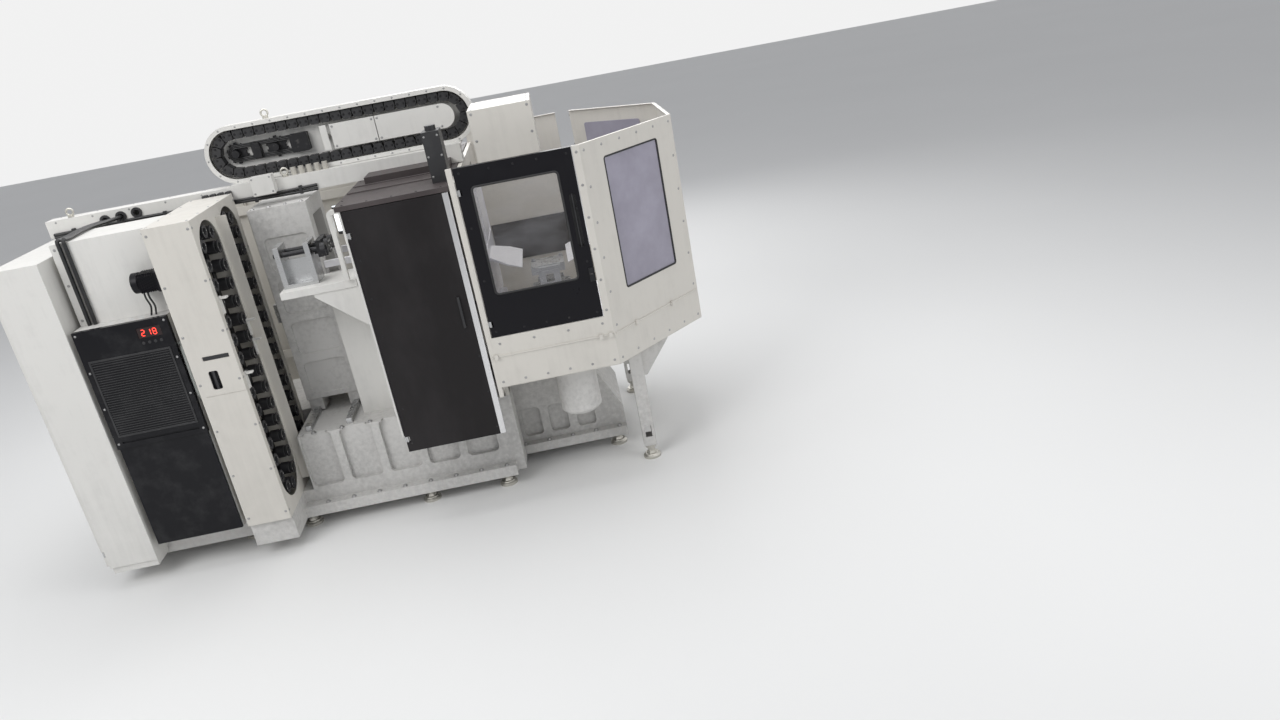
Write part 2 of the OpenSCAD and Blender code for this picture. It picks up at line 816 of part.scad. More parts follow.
// Closed chain of deep links round the upper loop
module upper_chain() {
    r = loop_h / 2 - loop_border - 6 - loop_link_h / 2;
    color([0.09, 0.09, 0.1])
        translate([loop_x, loop_y - gap, loop_z])
            rotate([90, 0, 0])
                for (i = [0 : loop_n - 1]) {
                    a = track_at(i, loop_n, loop_run, r);
                    b = track_at(i + 1 < loop_n ? i + 1 : 0, loop_n, loop_run, r);
                    d = [b[0] - a[0], b[1] - a[1]];
                    m = (a + b) / 2;
                    turn = atan2(d[1], d[0]);
                    translate([m[0], m[1], 0])
                        rotate([0, 0, turn]) {
                            linear_extrude(70)
                                polygon([[-norm(d) / 2 + 11, -loop_link_h / 2], [norm(d) / 2 - 11, -loop_link_h / 2],
                                         [norm(d) / 2 - 2, 0], [norm(d) / 2 - 4, loop_link_h / 2],
                                         [-norm(d) / 2 + 4, loop_link_h / 2], [-norm(d) / 2 + 2, 0]]);
                        }
                }
}

// Cover plates inside the upper loop, carried by stand-offs
module upper_loop_covers() {
    h = loop_h - 2 * loop_border - 2 * loop_link_h - 40;
    x1 = loop_x + loop_run / 2;
    color([0.86, 0.85, 0.84]) {
        facing_near([x1 - 190, loop_y - 76, loop_z], 6) {
            translate([-30, 0])
                square([400, h], center = true);
            translate([170, 0])
                circle(h / 2);
        }
        facing_near([x1 - 560, loop_y - 76, loop_z], 6)
            square([270, h], center = true);
        facing_near([x1 - 735, loop_y - 76, loop_z], 6)
            square([40, h], center = true);
        for (x = [x1 - 330, x1 - 80, x1 - 640, x1 - 480, x1 - 735])
            facing_near([x, loop_y - gap, loop_z], 76 - gap)
                circle(d = 34);
    }
}

// Lifting eye with its collar, standing on a given point
module eye(at) {
    translate(at) {
        cylinder(d = 36, h = 10);
        translate([0, 0, 32])
            rotate([90, 0, 0])
                rotate_extrude()
                    translate([20, 0])
                        circle(6);
        cylinder(d = 15, h = 16);
    }
}

module lifting_eyes() {
    color([0.72, 0.66, 0.56]) {
        eye([loop_x - loop_run / 2 + 230, loop_y - 40, duct_top + 2 + loop_h]);
        eye([cab_x + 150, duct_y + 20, duct_top]);
        eye([mag_side + 320, duct_y + 20, duct_top]);
    }
}

// Long cable duct along the top, from the cabinet to the chamber
module cable_duct() {
    x1 = load_x + 30;
    z0 = duct_z;
    color([0.86, 0.86, 0.84])
        difference() {
            union() {
                block([cab_x, duct_y, z0], [x1, duct_y + duct_d, duct_top]);
                block([load_x - 60, duct_y + 10, z0], [load_x + 20, duct_y + 60, z0 + 4]);
            }
            block([cab_x + 4, duct_y + 4, z0 + 4], [x1 - 4, duct_y + duct_d - 4, duct_top - 4]);
            for (i = [0 : 2])
                facing_near([grommet_x + i * grommet_p, duct_y + 10, duct_top - duct_h / 2 + i * 6], 20)
                    circle(d = 46);
        }
}

// Grommets, plugs and the bright junction box on the duct
module duct_fittings() {
    z = duct_top - duct_h / 2;
    color([0.08, 0.08, 0.09]) {
        for (i = [0 : 2])
            facing_near([grommet_x + i * grommet_p, duct_y, z + i * 6], 10)
                difference() {
                    circle(d = 62);
                    circle(d = 34);
                }
        for (i = [0 : 3])
            facing_near([mag_x + 90 + i * 46, duct_y, z + 14], 34)
                round_rect(32, 44, 8);
    }
    color([0.9, 0.92, 0.98])
        block([mag_side + 130, duct_y - 60, duct_top - 70], [mag_side + 260, duct_y, duct_top + 40]);
    color([0.8, 0.8, 0.78])
        for (i = [0 : 4])
            translate([mag_side + 370 + i * 48, duct_y + 40, duct_top])
                cylinder(d = 34, h = 46);
}

// Electrical cabinet across the back of the machine
module electrical_cabinet() {
    z0 = foot_h + 60;
    x0 = cab_x + leaf_t + 4;
    x1 = cab_x + cabinet_l;
    y_mid = leaf_y + leaf_w + 6;
    foot_y = bed_w / 2 + 150;
    color([0.88, 0.88, 0.86])
        difference() {
            union() {
                block([x0, y_near, z0], [x1, y_far, duct_z]);
                block([cab_x, y_mid, z0], [x0 + 1, y_far, duct_z]);
                for (s = [-1, 1])
                    block([x0 + 6, s * (y_far + foot_y) / 2 - (y_far - foot_y) / 2 + 10, foot_h + 20],
                          [x1 - 6, s * (y_far + foot_y) / 2 + (y_far - foot_y) / 2 - 10, z0 + 1]);
            }
            block([x0 - eps, leaf_y + 20, z0 + 30], [x1 - 5, leaf_y + leaf_w - 20, duct_z - 30]);
            block([x0 + 5, y_mid + 20, z0 + 30], [x1 - 5, y_far - 6, duct_z - 30]);
            block([cab_x - 10, -foot_y - gap, foot_h], [x1 + 10, foot_y + gap, foot_h + 150 + gap]);
        }
}

// Chiller box with its louvred flank, on the bed's back shelf
module chiller() {
    z0 = foot_h + 150;
    color([0.82, 0.82, 0.8])
        difference() {
            block([chiller_x, y_near + 30, z0], [chiller_x + chiller_w, chiller_y, chiller_z + chiller_h]);
            block([chiller_x + 6, y_near + 60, z0 + 6],
                  [chiller_x + chiller_w - 6, chiller_y - 6, chiller_z + chiller_h - 6]);
            for (i = [0 : 9])
                block([chiller_x - eps, y_near + 120, chiller_z + 80 + i * 50],
                      [chiller_x + 7, chiller_y - 100, chiller_z + 100 + i * 50]);
        }
}

// Black front of the chiller with its display window and lower slot
module chiller_front() {
    color([0.06, 0.06, 0.07])
        difference() {
            block([chiller_x, y_near, chiller_z],
                  [chiller_x + chiller_w, y_near + 30, chiller_z + chiller_h]);
            facing_near([chiller_x + chiller_w - 110, y_near + 4, chiller_z + chiller_h - 70], 10)
                round_rect(130, 60, 6);
            block([chiller_x + 40, y_near - eps, chiller_z + 30],
                  [chiller_x + chiller_w - 40, y_near + 8, chiller_z + 42]);
        }
    color([0.82, 0.82, 0.8])
        block([chiller_x + 6, y_near + 10, foot_h + 150],
              [chiller_x + chiller_w - 6, y_near + 30, chiller_z]);
}

// White panel above the chiller, with a folded edge
module service_panel() {
    z0 = chiller_z + chiller_h;
    y0 = y_near + 130;
    color([0.87, 0.87, 0.85])
        difference() {
            block([chiller_x, y0, z0], [chiller_x + chiller_w, service_y, mag_z - 10]);
            block([chiller_x + 5, y0 + 5, z0 - eps],
                  [chiller_x + chiller_w + eps, service_y - 5, mag_z - 15]);
        }
}

// Tube swept along a route of points with flat-sided rings
function ring(p, u, v, r, n) = [for (k = [0 : n - 1]) p + r * (cos(k * 360 / n) * u + sin(k * 360 / n) * v)];

module swept_tube(route, r, n = 8) {
    m = len(route);
    dirs = [for (i = [0 : m - 1]) let (d = route[min(i + 1, m - 1)] - route[max(i - 1, 0)]) d / norm(d)];
    side = [for (d = dirs) let (c = cross(d, abs(d[1]) < 0.9 ? [0, 1, 0] : [1, 0, 0])) c / norm(c)];
    pts = [for (i = [0 : m - 1]) each ring(route[i], side[i], cross(dirs[i], side[i]), r, n)];
    walls = [for (i = [0 : m - 2], k = [0 : n - 1])
                [i * n + k, i * n + (k + 1) % n, (i + 1) * n + (k + 1) % n, (i + 1) * n + k]];
    polyhedron(pts, concat([[for (k = [n - 1 : -1 : 0]) k]], walls, [[for (k = [0 : n - 1]) (m - 1) * n + k]]));
}

// Smooth path through a few chosen points
function blend4(a, b, c, d, t) =
    0.5 * ((2 * b) + (c - a) * t + (2 * a - 5 * b + 4 * c - d) * t * t + (3 * b - a - 3 * c + d) * t * t * t);

function smooth(p, k) = [
    for (i = [0 : len(p) - 2], j = [0 : k - 1])
        blend4(p[max(i - 1, 0)], p[i], p[i + 1], p[min(i + 2, len(p) - 1)], j / k),
    p[len(p) - 1]
];

// Pair of black hoses down the service panel's edge, from the duct to the bed
module black_hoses() {
    top = mag_z - 10;
    corner = y_near + 130;
    color([0.05, 0.05, 0.06])
        for (i = [0, 1]) {
            x = chiller_x + 56 + i * 32;
            swept_tube(smooth([[grommet_x + i * grommet_p, duct_y + 10, duct_top - duct_h / 2 + i * 6],
                               [grommet_x + i * grommet_p, duct_y - 50, duct_top - duct_h / 2 + i * 6],
                               [x, corner + 300, top + 14], [x, corner + 60, top + 13], [x, corner, top + 18],
                               [x, corner - 14, top + 4], [x, corner - 14, top - 30],
                               [x, corner - 14, top - 300], [x, corner - 14, chiller_z + chiller_h]], 3), 11);
        }
}

// Clear hose in a hanging bend beside the chiller's front
module chiller_hose() {
    wall_x = chiller_x + chiller_w + gap;
    x = wall_x + 15;
    y = y_near + 20;
    z = chiller_z + 180;
    top = z + 350;
    color([0.7, 0.7, 0.68])
        swept_tube(concat([[wall_x, y + 20, top]],
                          smooth([[wall_x + 4, y + 20, top], [x, y + 18, top - 8], [x + 2, y, z + 300], [x, y, z + 100],
                                  [x, y + 12, z + 22], [x, y + 45, z], [x, y + 78, z + 22], [x, y + 90, z + 100],
                                  [x, y + 90, z + 300], [x, y + 82, top - 8], [wall_x + 4, y + 80, top]], 3),
                          [[wall_x, y + 80, top]]), 9);
}

// Shelf in the bay that carries the tool-change unit
module tool_shelf() {
    z = shelf_z;
    x0 = chamber_x - 480;
    ribs = [bay_y + 8, bay_y + 86];
    color([0.9, 0.9, 0.89])
        difference() {
            union() {
                block([x0, bay_y, z - 40], [chamber_x - 48, bay_y + shelf_l, z]);
                for (y = ribs)
                    facing_near([0, y + 8, 0], 8)
                        polygon([[chamber_x, z - 320], [chamber_x, z], [chamber_x - 300, z],
                                 [chamber_x - 300, z - 60]]);
            }
            block([x0 + 8, ribs[0] + 8, z - 40 - eps], [chamber_x - 56, ribs[1], z - 8]);
            block([x0 + 8, ribs[1] + 8, z - 40 - eps], [chamber_x - 56, bay_y + shelf_l - 8, z - 8]);
        }
}

// Tubular lamp on the chamber wall, lit
module work_lamp() {
    x = chamber_x - 60;
    color([0.95, 0.96, 1]) {
        translate([x, lamp_y, 1780])
            cylinder(d = 34, h = 156);
        for (z = [1790, 1916])
            block([x, lamp_y - 12, z], [chamber_x, lamp_y + 12, z + 10]);
    }
}

// Bent tube frame beside the lamp, standing on the shelf's edge
module guard_tube() {
    x = chamber_x - 30;
    y = bay_y - 10;
    tube = 26;
    color([0.9, 0.9, 0.88]) {
        facing_near([x, y, shelf_z + 10], tube)
            difference() {
                translate([-70, 0])
                    round_top(92, 400, 30);
                translate([-44, -eps])
                    square([40, 374]);
            }
        block([x + 22, y - 18, shelf_z + 20], [x + 30, y - 4, shelf_z + 40]);
    }
}

// Upright outline with its upper left corner rounded
module round_top(w, h, r) {
    square([w, h - r]);
    translate([r, 0])
        square([w - r, h]);
    translate([r, h - r])
        circle(r);
}

// Bracket with the rods' bearings of the tool-change unit, on the shelf
module arm_bracket() {
    x0 = chamber_x - 470;
    half = 80;
    color([0.75, 0.76, 0.77])
        difference() {
            union() {
                for (x = [0, 170])
                    block([x0 + x, arm_y - half, shelf_z], [x0 + x + 30, arm_y + half, rod_z + 50]);
                block([x0, arm_y - half, shelf_z], [x0 + 200, arm_y + half, shelf_z + 20]);
                block([x0 + 20, arm_y - 10, shelf_z], [x0 + 180, arm_y + 10, rod_z - 40]);
            }
            for (y = rod_y)
                translate([x0 - eps, y, rod_z])
                    rotate([0, 90, 0])
                        cylinder(d = 28 + 2 * gap, h = 201);
        }
}

// Carriage that slides on the rods
module arm_carriage() {
    x0 = arm_x - 32;
    color([0.12, 0.12, 0.13])
        difference() {
            union() {
                block([x0, arm_y - 82, rod_z - 44], [x0 + 30, arm_y + 82, rod_z + 50]);
                block([x0 - 30, arm_y - 32, rod_z - 32], [x0 + 1, arm_y + 32, rod_z + 32]);
                for (y = rod_y)
                    translate([x0 - 252, y, rod_z])
                        rotate([0, 90, 0])
                            cylinder(d = 28, h = 253);
            }
            translate([x0 - 8 - gap, arm_y, rod_z])
                rotate([0, 90, 0])
                    cylinder(d = 36 + 2 * gap, h = 40);
        }
}

// Double-ended tool-change arm with its hooked grippers
module change_arm() {
    reach = 104;
    color([0.14, 0.14, 0.15])
        facing_end([arm_x, arm_y, rod_z], 26)
            difference() {
                union() {
                    circle(d = 84);
                    square([2 * reach, 46], center = true);
                    for (s = [-1, 1])
                        translate([s * reach, 0])
                            circle(d = 82);
                }
                for (s = [-1, 1]) {
                    translate([s * (reach + 6), 0])
                        circle(d = 54);
                    translate([s * (reach + 6), s * 36])
                        square([38, 72], center = true);
                }
            }
    color([0.14, 0.14, 0.15])
        translate([arm_x - 38, arm_y, rod_z])
            rotate([0, 90, 0])
                cylinder(d = 36, h = 39);
}

// Base of the rotary table on the bed
module table_base() {
    color([0.78, 0.78, 0.76])
        difference() {
            union() {
                block([table_x - 150, -254, bed_top - 310], [table_x + 150, 254, bed_top + 80]);
                translate([table_x, 0, bed_top + 80])
                    cylinder(d = 250, h = table_z - bed_top - 80 - 90);
            }
            translate([table_x, 0, bed_top - 40])
                cylinder(d = 110, h = 500);
        }
}

// Rotary table with its clamp ring and four locating pads
module rotary_table() {
    color([0.66, 0.67, 0.69])
        difference() {
            union() {
                translate([table_x, 0, table_z - 90 + gap])
                    rotate_extrude()
                        polygon([[0, 0], [122, 0], [122, 46], [104, 60], [104, 90 - gap - 6], [0, 90 - gap - 6]]);
                for (i = [0 : 3])
                    translate([table_x, 0, table_z - 6])
                        rotate([0, 0, 45 + i * 90])
                            translate([74, 0, -1])
                                cylinder(d = 30, h = 7);
                translate([table_x, 0, table_z - 150])
                    cylinder(d = 110 - 2 * gap, h = 70);
            }
            translate([table_x, 0, table_z - 70])
                cylinder(d = 62, h = 100);
        }
}

// Rising tube of the pallet changer
module lift_tube() {
    color([0.72, 0.73, 0.75])
        difference() {
            translate([pivot_x, 0, 0])
                union() {
                    translate([0, 0, bed_top - 60])
                        cylinder(d = pivot_d - 30 - 2 * gap, h = fork_z - 40 - bed_top + 60);
                    translate([0, 0, fork_z - 64])
                        cylinder(d = pivot_d + 20, h = 24);
                }
            translate([pivot_x, 0, bed_top - 61])
                cylinder(d = 90, h = 600);
        }
}

// Twin forked arm under both pallets, with the hub that turns on the lift tube
module fork_arm() {
    tine = (pallet_s - boss_d - 16) / 2;
    reach = pallet_r + pallet_s / 2 - 6;
    color([0.7, 0.71, 0.72])
        translate([pivot_x, 0, 0])
            difference() {
                union() {
                    translate([0, 0, fork_z])
                        linear_extrude(fork_t)
                            difference() {
                                union() {
                                    square([2 * reach, pallet_s - 8], center = true);
                                    circle(d = pivot_d + 90);
                                }
                                for (s = [-1, 1]) {
                                    translate([s * (pallet_r + reach) / 2, 0])
                                        square([reach - pallet_r + 1, pallet_s - 8 - 2 * tine], center = true);
                                    translate([s * pallet_r, 0])
                                        circle(d = pallet_s - 8 - 2 * tine);
                                }
                            }
                    translate([0, 0, fork_z - 40])
                        cylinder(d = pivot_d + 20, h = 41);
                    for (x = [-1, 1], y = [-1, 1])
                        translate([x * (pivot_d / 2 + 70), y * 60, fork_z - 30])
                            cube([100, 12, 61], center = true);
                }
                translate([0, 0, fork_z - 100])
                    cylinder(d = 60, h = 300);
            }
}

// Divider that turns with the arm, with a sloping skirt on each side
module divider() {
    z0 = fork_z + fork_t;
    half_t = divider_t / 2;
    skirt = 1290;
    reach = 205;
    wide = 240;
    narrow = 150;
    color([0.92, 0.92, 0.93])
        translate([pivot_x, 0, 0])
            difference() {
                union() {
                    block([-half_t, -divider_w / 2, z0 + 2], [half_t, divider_w / 2, divider_top]);
                    intersection() {
                        facing_near([0, wide, 0], 2 * wide)
                            polygon([[-half_t, skirt + 80], [half_t, skirt + 80], [reach, skirt], [reach, skirt - 4],
                                     [half_t, skirt + 60], [-half_t, skirt + 60], [-reach, skirt - 4],
                                     [-reach, skirt]]);
                        translate([0, 0, skirt - 10])
                            linear_extrude(100)
                                for (s = [-1, 1])
                                    polygon([[0, -narrow], [s * reach * 0.6, -wide], [s * reach, -wide],
                                             [s * reach, wide], [s * reach * 0.6, wide], [0, narrow]]);
                    }
                    block([-60, -100, z0], [60, 100, z0 + 60]);
                }
                for (y = [-1, 1], s = [-1, 1])
                    facing_end([s * half_t - 5, y * divider_w / 4, skirt + 325], 10)
                        round_rect(divider_w / 2 - 60, 380, 20);
            }
}

// Pallet with tapped holes, edge grooves and a clamping boss underneath
module pallet(x) {
    pitch = (pallet_s - 50) / 4;
    span = (hole_n - 1) / 2;
    color([0.64, 0.65, 0.67])
        translate([x, 0, pallet_z - pallet_t])
            difference() {
                union() {
                    linear_extrude(pallet_t)
                        round_rect(pallet_s, pallet_s, 12);
                    translate([0, 0, -boss_h])
                        rotate_extrude()
                            polygon([[0, 0], [boss_d / 2 - 10, 0], [boss_d / 2, 10], [boss_d / 2, boss_h + 1], [0, boss_h + 1]]);
                }
                for (i = [-span : span], j = [-span : span])
                    if (i != 0 || j != 0)
                        translate([i * pitch, j * pitch, pallet_t - 22])
                            cylinder(d = hole_d, h = 23);
                translate([0, 0, pallet_t - 16])
                    cylinder(d = 30, h = 17);
                for (a = [0 : 3])
                    rotate([0, 0, a * 90])
                        block([pallet_s / 2 - 5, -pallet_s / 2 + 20, 14],
                              [pallet_s / 2 + 1, pallet_s / 2 - 20, 22]);
            }
}

module pallets() {
    pallet(table_x);
    pallet(station_x);
}

// Fixture on the loading pallet: a waisted riser and a square top plate with its corner clamps
module work_fixture() {
    half = fixture_w / 2;
    deep = pallet_s / 2 - 1;
    plate = 40;
    z1 = fixture_h - 12;
    color([0.36, 0.37, 0.39])
        translate([station_x, 0, pallet_z]) {
            difference() {
                union() {
                    block([-half + 20, -deep + 14, 0], [half - 20, deep - 14, 22]);
                    block([-half + 40, -deep + 34, 21], [half - 40, deep - 34, z1 - plate + 1]);
                    block([-half, -deep, z1 - plate], [half, deep, z1]);
                    for (s = [-1, 1], y = [-1, 1])
                        translate([s * (half - 16), y * (deep - 16), z1 - 1])
                            cylinder(d = 26, h = 13);
                    block([-half + 34, -deep + 30, z1 - 1], [half - 34, deep - 30, z1 + 6]);
                }
                block([-26, -deep, 44], [26, deep, z1 - plate - 16]);
                for (s = [-1, 1])
                    block([s * half - 6, -deep + 22, z1 - 26], [s * half + 6, deep - 22, z1 - 16]);
                for (s = [-1, 1])
                    block([-half + 22, s * deep - 6, z1 - 26], [half - 22, s * deep + 6, z1 - 16]);
            }
            for (x = [-1, 1], y = [-1, 1])
                translate([x * (half - 30), y * (deep - 24), 22])
                    cylinder(d = 10, h = 10);
        }
}

// Portal column: two uprights on cross carriages with the head's slide between them
module column() {
    x1 = column_x + column_d;
    color([0.86, 0.86, 0.83])
        difference() {
                union() {
                    block([column_x, -column_w / 2, cross_z + 60], [x1, column_w / 2, column_z]);
                    for (x = [column_x + 50, x1 - 50], s = [-1, 1])
                        block([x - 44, s * (column_w / 2 - 70) - 60, bed_top + 12],
                              [x + 44, s * (column_w / 2 - 70) + 60, cross_z + 61]);
                }
                block([column_x - eps, -portal_w / 2, spindle_z - head_h / 2 - 140],
                      [x1 + eps, portal_w / 2, column_z - 100]);
                for (x = [column_x + 50, x1 - 50])
                    facing_near([x, column_w, bed_top], 2 * column_w)
                        translate([0, rail_h / 2 - 1])
                            square([rail_w + 2 * gap, rail_h + 2 + 2 * gap], center = true);
                for (s = [-1, 1], i = [0 : 3])
                    facing_near([column_x + 175, s * column_w / 2 + 10, cross_z + 200 + i * 270], 20)
                        round_rect(column_d - 90, 210, 30);
            }
}

// Vertical guide rails on the inner faces of the portal
module head_rails() {
    z0 = spindle_z - head_h / 2 - 130;
    color([0.72, 0.73, 0.75])
        for (s = [-1, 1], x = [column_x + 90, column_x + column_d - 90])
            block([x - 17, s * (portal_w / 2 - 7) - 7, z0],
                  [x + 17, s * (portal_w / 2 - 7) + 7, column_z - 110]);
}

// Head carrier between the uprights, bored for the ram
module head_carrier() {
    x0 = column_x + 40;
    x1 = column_x + column_d + 30;
    color([0.8, 0.8, 0.78])
        difference() {
            union() {
                block([x0, -head_w / 2, spindle_z - head_h / 2], [x1, head_w / 2, spindle_z + head_h / 2]);
                block([x1 - 1, -150, spindle_z - 150], [x1 + 20, 150, spindle_z + 150]);
            }
            block([x0 - eps, -ram_s / 2 - gap, spindle_z - ram_s / 2 - gap],
                  [x1 + 30, ram_s / 2 + gap, spindle_z + ram_s / 2 + gap]);
        }
}

// Plate on the column that closes the wall's slot while the column moves across
module cross_cover() {
    x = chamber_x - 40;
    half = slot_y + cross + 16;
    color([0.6, 0.61, 0.6]) {
        difference() {
            block([x, -half, spindle_z - slot_down - 16], [x + 8, half, spindle_z + slot_up + 16]);
            block([x - eps, -ram_s / 2 - 8, spindle_z - slot_down + 10],
                  [x + 9, ram_s / 2 + 8, spindle_z + slot_up - 10]);
        }
        for (s = [-1, 1], z = [spindle_z - slot_down - 10, spindle_z + slot_up - 30])
            block([column_x + column_d, s * 180 - 14, z], [x + 1, s * 180 + 14, z + 40]);
    }
}

// Tall plate on the head, with a collar round the ram, that closes the cross plate's slot
module head_cover() {
    x0 = column_x + column_d + 50;
    x = chamber_x - 56;
    half = 400;
    color([0.66, 0.67, 0.66])
        difference() {
            union() {
                block([x, -ram_s / 2 - 40, spindle_z - half], [x + 8, ram_s / 2 + 40, spindle_z + half]);
                block([x0, -ram_s / 2 - 20, spindle_z - ram_s / 2 - 20],
                      [x + 1, ram_s / 2 + 20, spindle_z + ram_s / 2 + 20]);
            }
            block([x0 - eps, -ram_s / 2 - 2, spindle_z - ram_s / 2 - 2],
                  [x + 9, ram_s / 2 + 2, spindle_z + ram_s / 2 + 2]);
        }
}

// Square ram that carries the spindle into the chamber
module ram() {
    x0 = column_x - 20;
    x1 = nose_x - 90;
    color([0.74, 0.74, 0.73])
        difference() {
            union() {
                block([x0, -ram_s / 2, spindle_z - ram_s / 2], [x1, ram_s / 2, spindle_z + ram_s / 2]);
                translate([x1 - 1, 0, spindle_z])
                    rotate([0, 90, 0])
                        cylinder(d1 = ram_s - 6, d2 = nose_d + 12, h = 71);
                block([x0 - 46, -60, spindle_z - 60], [x0 + 1, 60, spindle_z + 60]);
            }
            translate([x1 - 140, 0, spindle_z])
                rotate([0, 90, 0])
                    cylinder(d = 90 + 2 * gap, h = 240);
        }
}

// Spindle with its flanged nose, drive keys and taper bore
module spindle() {
    color([0.7, 0.71, 0.74])
        translate([nose_x, 0, spindle_z])
            rotate([0, 90, 0])
                difference() {
                    union() {
                        rotate_extrude()
                            polygon([[0, -220], [45, -220], [45, -20 + gap], [nose_d / 2 - 8, -20 + gap],
                                     [nose_d / 2, -12], [nose_d / 2, -4], [nose_d / 2 - 4, 0], [0, 0]]);
                        for (s = [-1, 1])
                            translate([s * 40, 0, 3])
                                cube([14, 16, 8], center = true);
                    }
                    translate([0, 0, -68])
                        cylinder(d1 = 26, d2 = 46, h = 69);
                }
}

// Black loading door: a framed leaf with a large window opening and hinge barrels
module loading_door() {
    y1 = y_near + door_t;
    pull_x = door_x + door_w - 42;
    color([0.09, 0.09, 0.1])
        difference() {
            union() {
                difference() {
                    block([door_x, y_near, sill_z], [door_x + door_w, y1, door_z]);
                    block([door_x + 6, y_near + 6, sill_z + 6], [door_x + door_w - 6, y1 - 4, door_z - 6]);
                    facing_near([door_mid, y1 + 1, pane_z()], 8)
                        round_rect(pane_w + 20, pane_h + 20, 22);
                }
                block([door_x, y_near, sill_z], [door_x + 20, y_near + 20, door_z]);
            }
            facing_near([door_mid, y_near + 10, pane_z()], 20)
                round_rect(pane_w - 30, pane_h - 30, 22);
            facing_near([pull_x, y_near + 10, pane_z() + 20], 20)
                round_rect(36, 300, 14);
            for (z = hinge_z(sill_z, door_z))
                hinge_room([door_pin[0], door_pin[1], z]);
        }
}

function pane_z() = sill_z + 225 + pane_h / 2;

function hinge_z(z0, z1) = [z0 + 60, z1 - 150];

// Fixed knuckle with its pin and strap, standing on the hinge's axis
module hinge(at, strap) {
    translate(at) {
        cylinder(d = 16, h = 34);
        cylinder(d = 9, h = 74);
        block([min(strap[0], 0), min(strap[1], -3), 3], [max(strap[0], 0), max(strap[1], 3), 31]);
    }
}

// Room in a leaf for that knuckle, and the running bore above it
module hinge_room(at) {
    translate(at) {
        cylinder(d = 9 + 2 * gap, h = 78);
        translate([0, 0, -1])
            cylinder(d = 34, h = 36);
        block([-13, -13, -1], [13, 13, 35]);
    }
}

// Hinge pins of the loading door, the side door and the cabinet door
module hinge_pins() {
    color([0.6, 0.6, 0.62]) {
        for (z = hinge_z(sill_z, door_z))
            hinge([door_pin[0], door_pin[1], z], [door_x - 12 - door_pin[0], 0]);
        for (z = hinge_z(side_z, side_z + side_door_h))
            hinge([side_pin[0], side_pin[1], z], [chamber_x + 12 - side_pin[0], 0]);
        for (z = hinge_z(leaf_z, leaf_z + leaf_h))
            hinge([leaf_pin[0], leaf_pin[1], z], [leaf_t + 4 - 8, 0]);
    }
}

function pane_z() = sill_z + 225 + pane_h / 2;

// Glass of the loading door, set behind its frame
module door_window() {
    color([0.75, 0.77, 0.8])
        facing_near([door_mid, y_near + 6 + pane_t, pane_z()], pane_t)
            round_rect(pane_w, pane_h, 26);
}

// Pull handle on the door's free side
module door_handle() {
    x = door_x + door_w - 42;
    z = pane_z() + 20;
    color([0.16, 0.16, 0.17]) {
        difference() {
            facing_near([x, y_near + 26, z], 20)
                round_rect(44, 308, 16);
            facing_near([x, y_near + 22, z], 20)
                round_rect(34, 298, 12);
        }
        translate([x, y_near + 12, z - 150])
            cylinder(d = 12, h = 300);
    }
}

// Dark side door of the chamber: a tray of sheet with folded edges and hinge barrels
module side_door() {
    x1 = strip_x - profile_w - 6;
    z1 = side_z + side_door_h;
    color([0.13, 0.12, 0.12])
        difference() {
            union() {
                difference() {
                    block([side_x, y_near, side_z], [x1, y_near + side_door_t, z1]);
                    block([side_x + 6, y_near + 6, side_z + 6], [x1 - 6, y_near + side_door_t + eps, z1 - 6]);
                }
                block([side_x, y_near, side_z], [side_x + 24, y_near + 24, z1]);
                for (z = [side_z + side_door_h * 0.33, side_z + side_door_h * 0.66])
                    block([side_x + 5, y_near + 5, z], [x1 - 5, y_near + 30, z + 20]);
            }
            for (z = hinge_z(side_z, z1))
                hinge_room([side_pin[0], side_pin[1], z]);
        }
}

// Bright profile on the door's free edge, shaped as a long pull
module edge_profile() {
    x0 = strip_x - profile_w - 6;
    color([0.66, 0.67, 0.69])
        translate([x0, y_near, side_z])
            linear_extrude(side_door_h)
                polygon([[0, 0], [profile_w - 8, 0], [profile_w - 2, 4], [profile_w - 2, 14], [profile_w - 12, 14],
                         [profile_w - 12, 32], [profile_w - 4, 32], [profile_w - 4, side_door_t], [0, side_door_t]]);
}

// Cabinet door on the back end, with its folded edge, hinges and turning-handle boss
module cabinet_door() {
    z1 = leaf_z + leaf_h;
    y1 = leaf_y + leaf_w;
    color([0.88, 0.88, 0.86])
        difference() {
            block([cab_x, leaf_y, leaf_z], [cab_x + leaf_t, y1, z1]);
            block([cab_x + 4, leaf_y + 24, leaf_z + 6], [cab_x + leaf_t + eps, y1 - 6, z1 - 6]);
            for (i = [0 : 11])
                block([cab_x - eps, leaf_y + 260, leaf_z + 120 + i * 26],
                      [cab_x + 6, y1 - 260, leaf_z + 132 + i * 26]);
            facing_end([cab_x - eps, y1 - 60, leaf_z + leaf_h * 0.55], 6)
                round_rect(36, 150, 10);
            for (z = hinge_z(leaf_z, z1))
                hinge_room([leaf_pin[0], leaf_pin[1], z]);
        }
}

bed();
levelling_feet();
cross_rails();
changer_base();
support_posts();
chamber_wall();
partition();
roof_cover();
far_cover();
loading_enclosure();
corner_windows();
loading_tray();
sill_rail();
top_housing();
cable_riser();
hinge_pins();
magazine_housing();
front_tool_chain();
back_tool_chain();
tool_pots();
sprockets();
magazine_motor();
upper_loop_plate();
upper_chain();
upper_loop_covers();
lifting_eyes();
cable_duct();
duct_fittings();
electrical_cabinet();
chiller();
chiller_front();
service_panel();
black_hoses();
chiller_hose();
tool_shelf();
work_lamp();
guard_tube();
arm_bracket();
arm_carriage();
change_arm();
table_base();
rotary_table();
lift_tube();
fork_arm();
divider();
pallets();
work_fixture();
column();
cross_cover();
head_rails();
head_carrier();
head_cover();
ram();
spindle();
loading_door();
door_window();
door_handle();
side_door();
edge_profile();
cabinet_door();
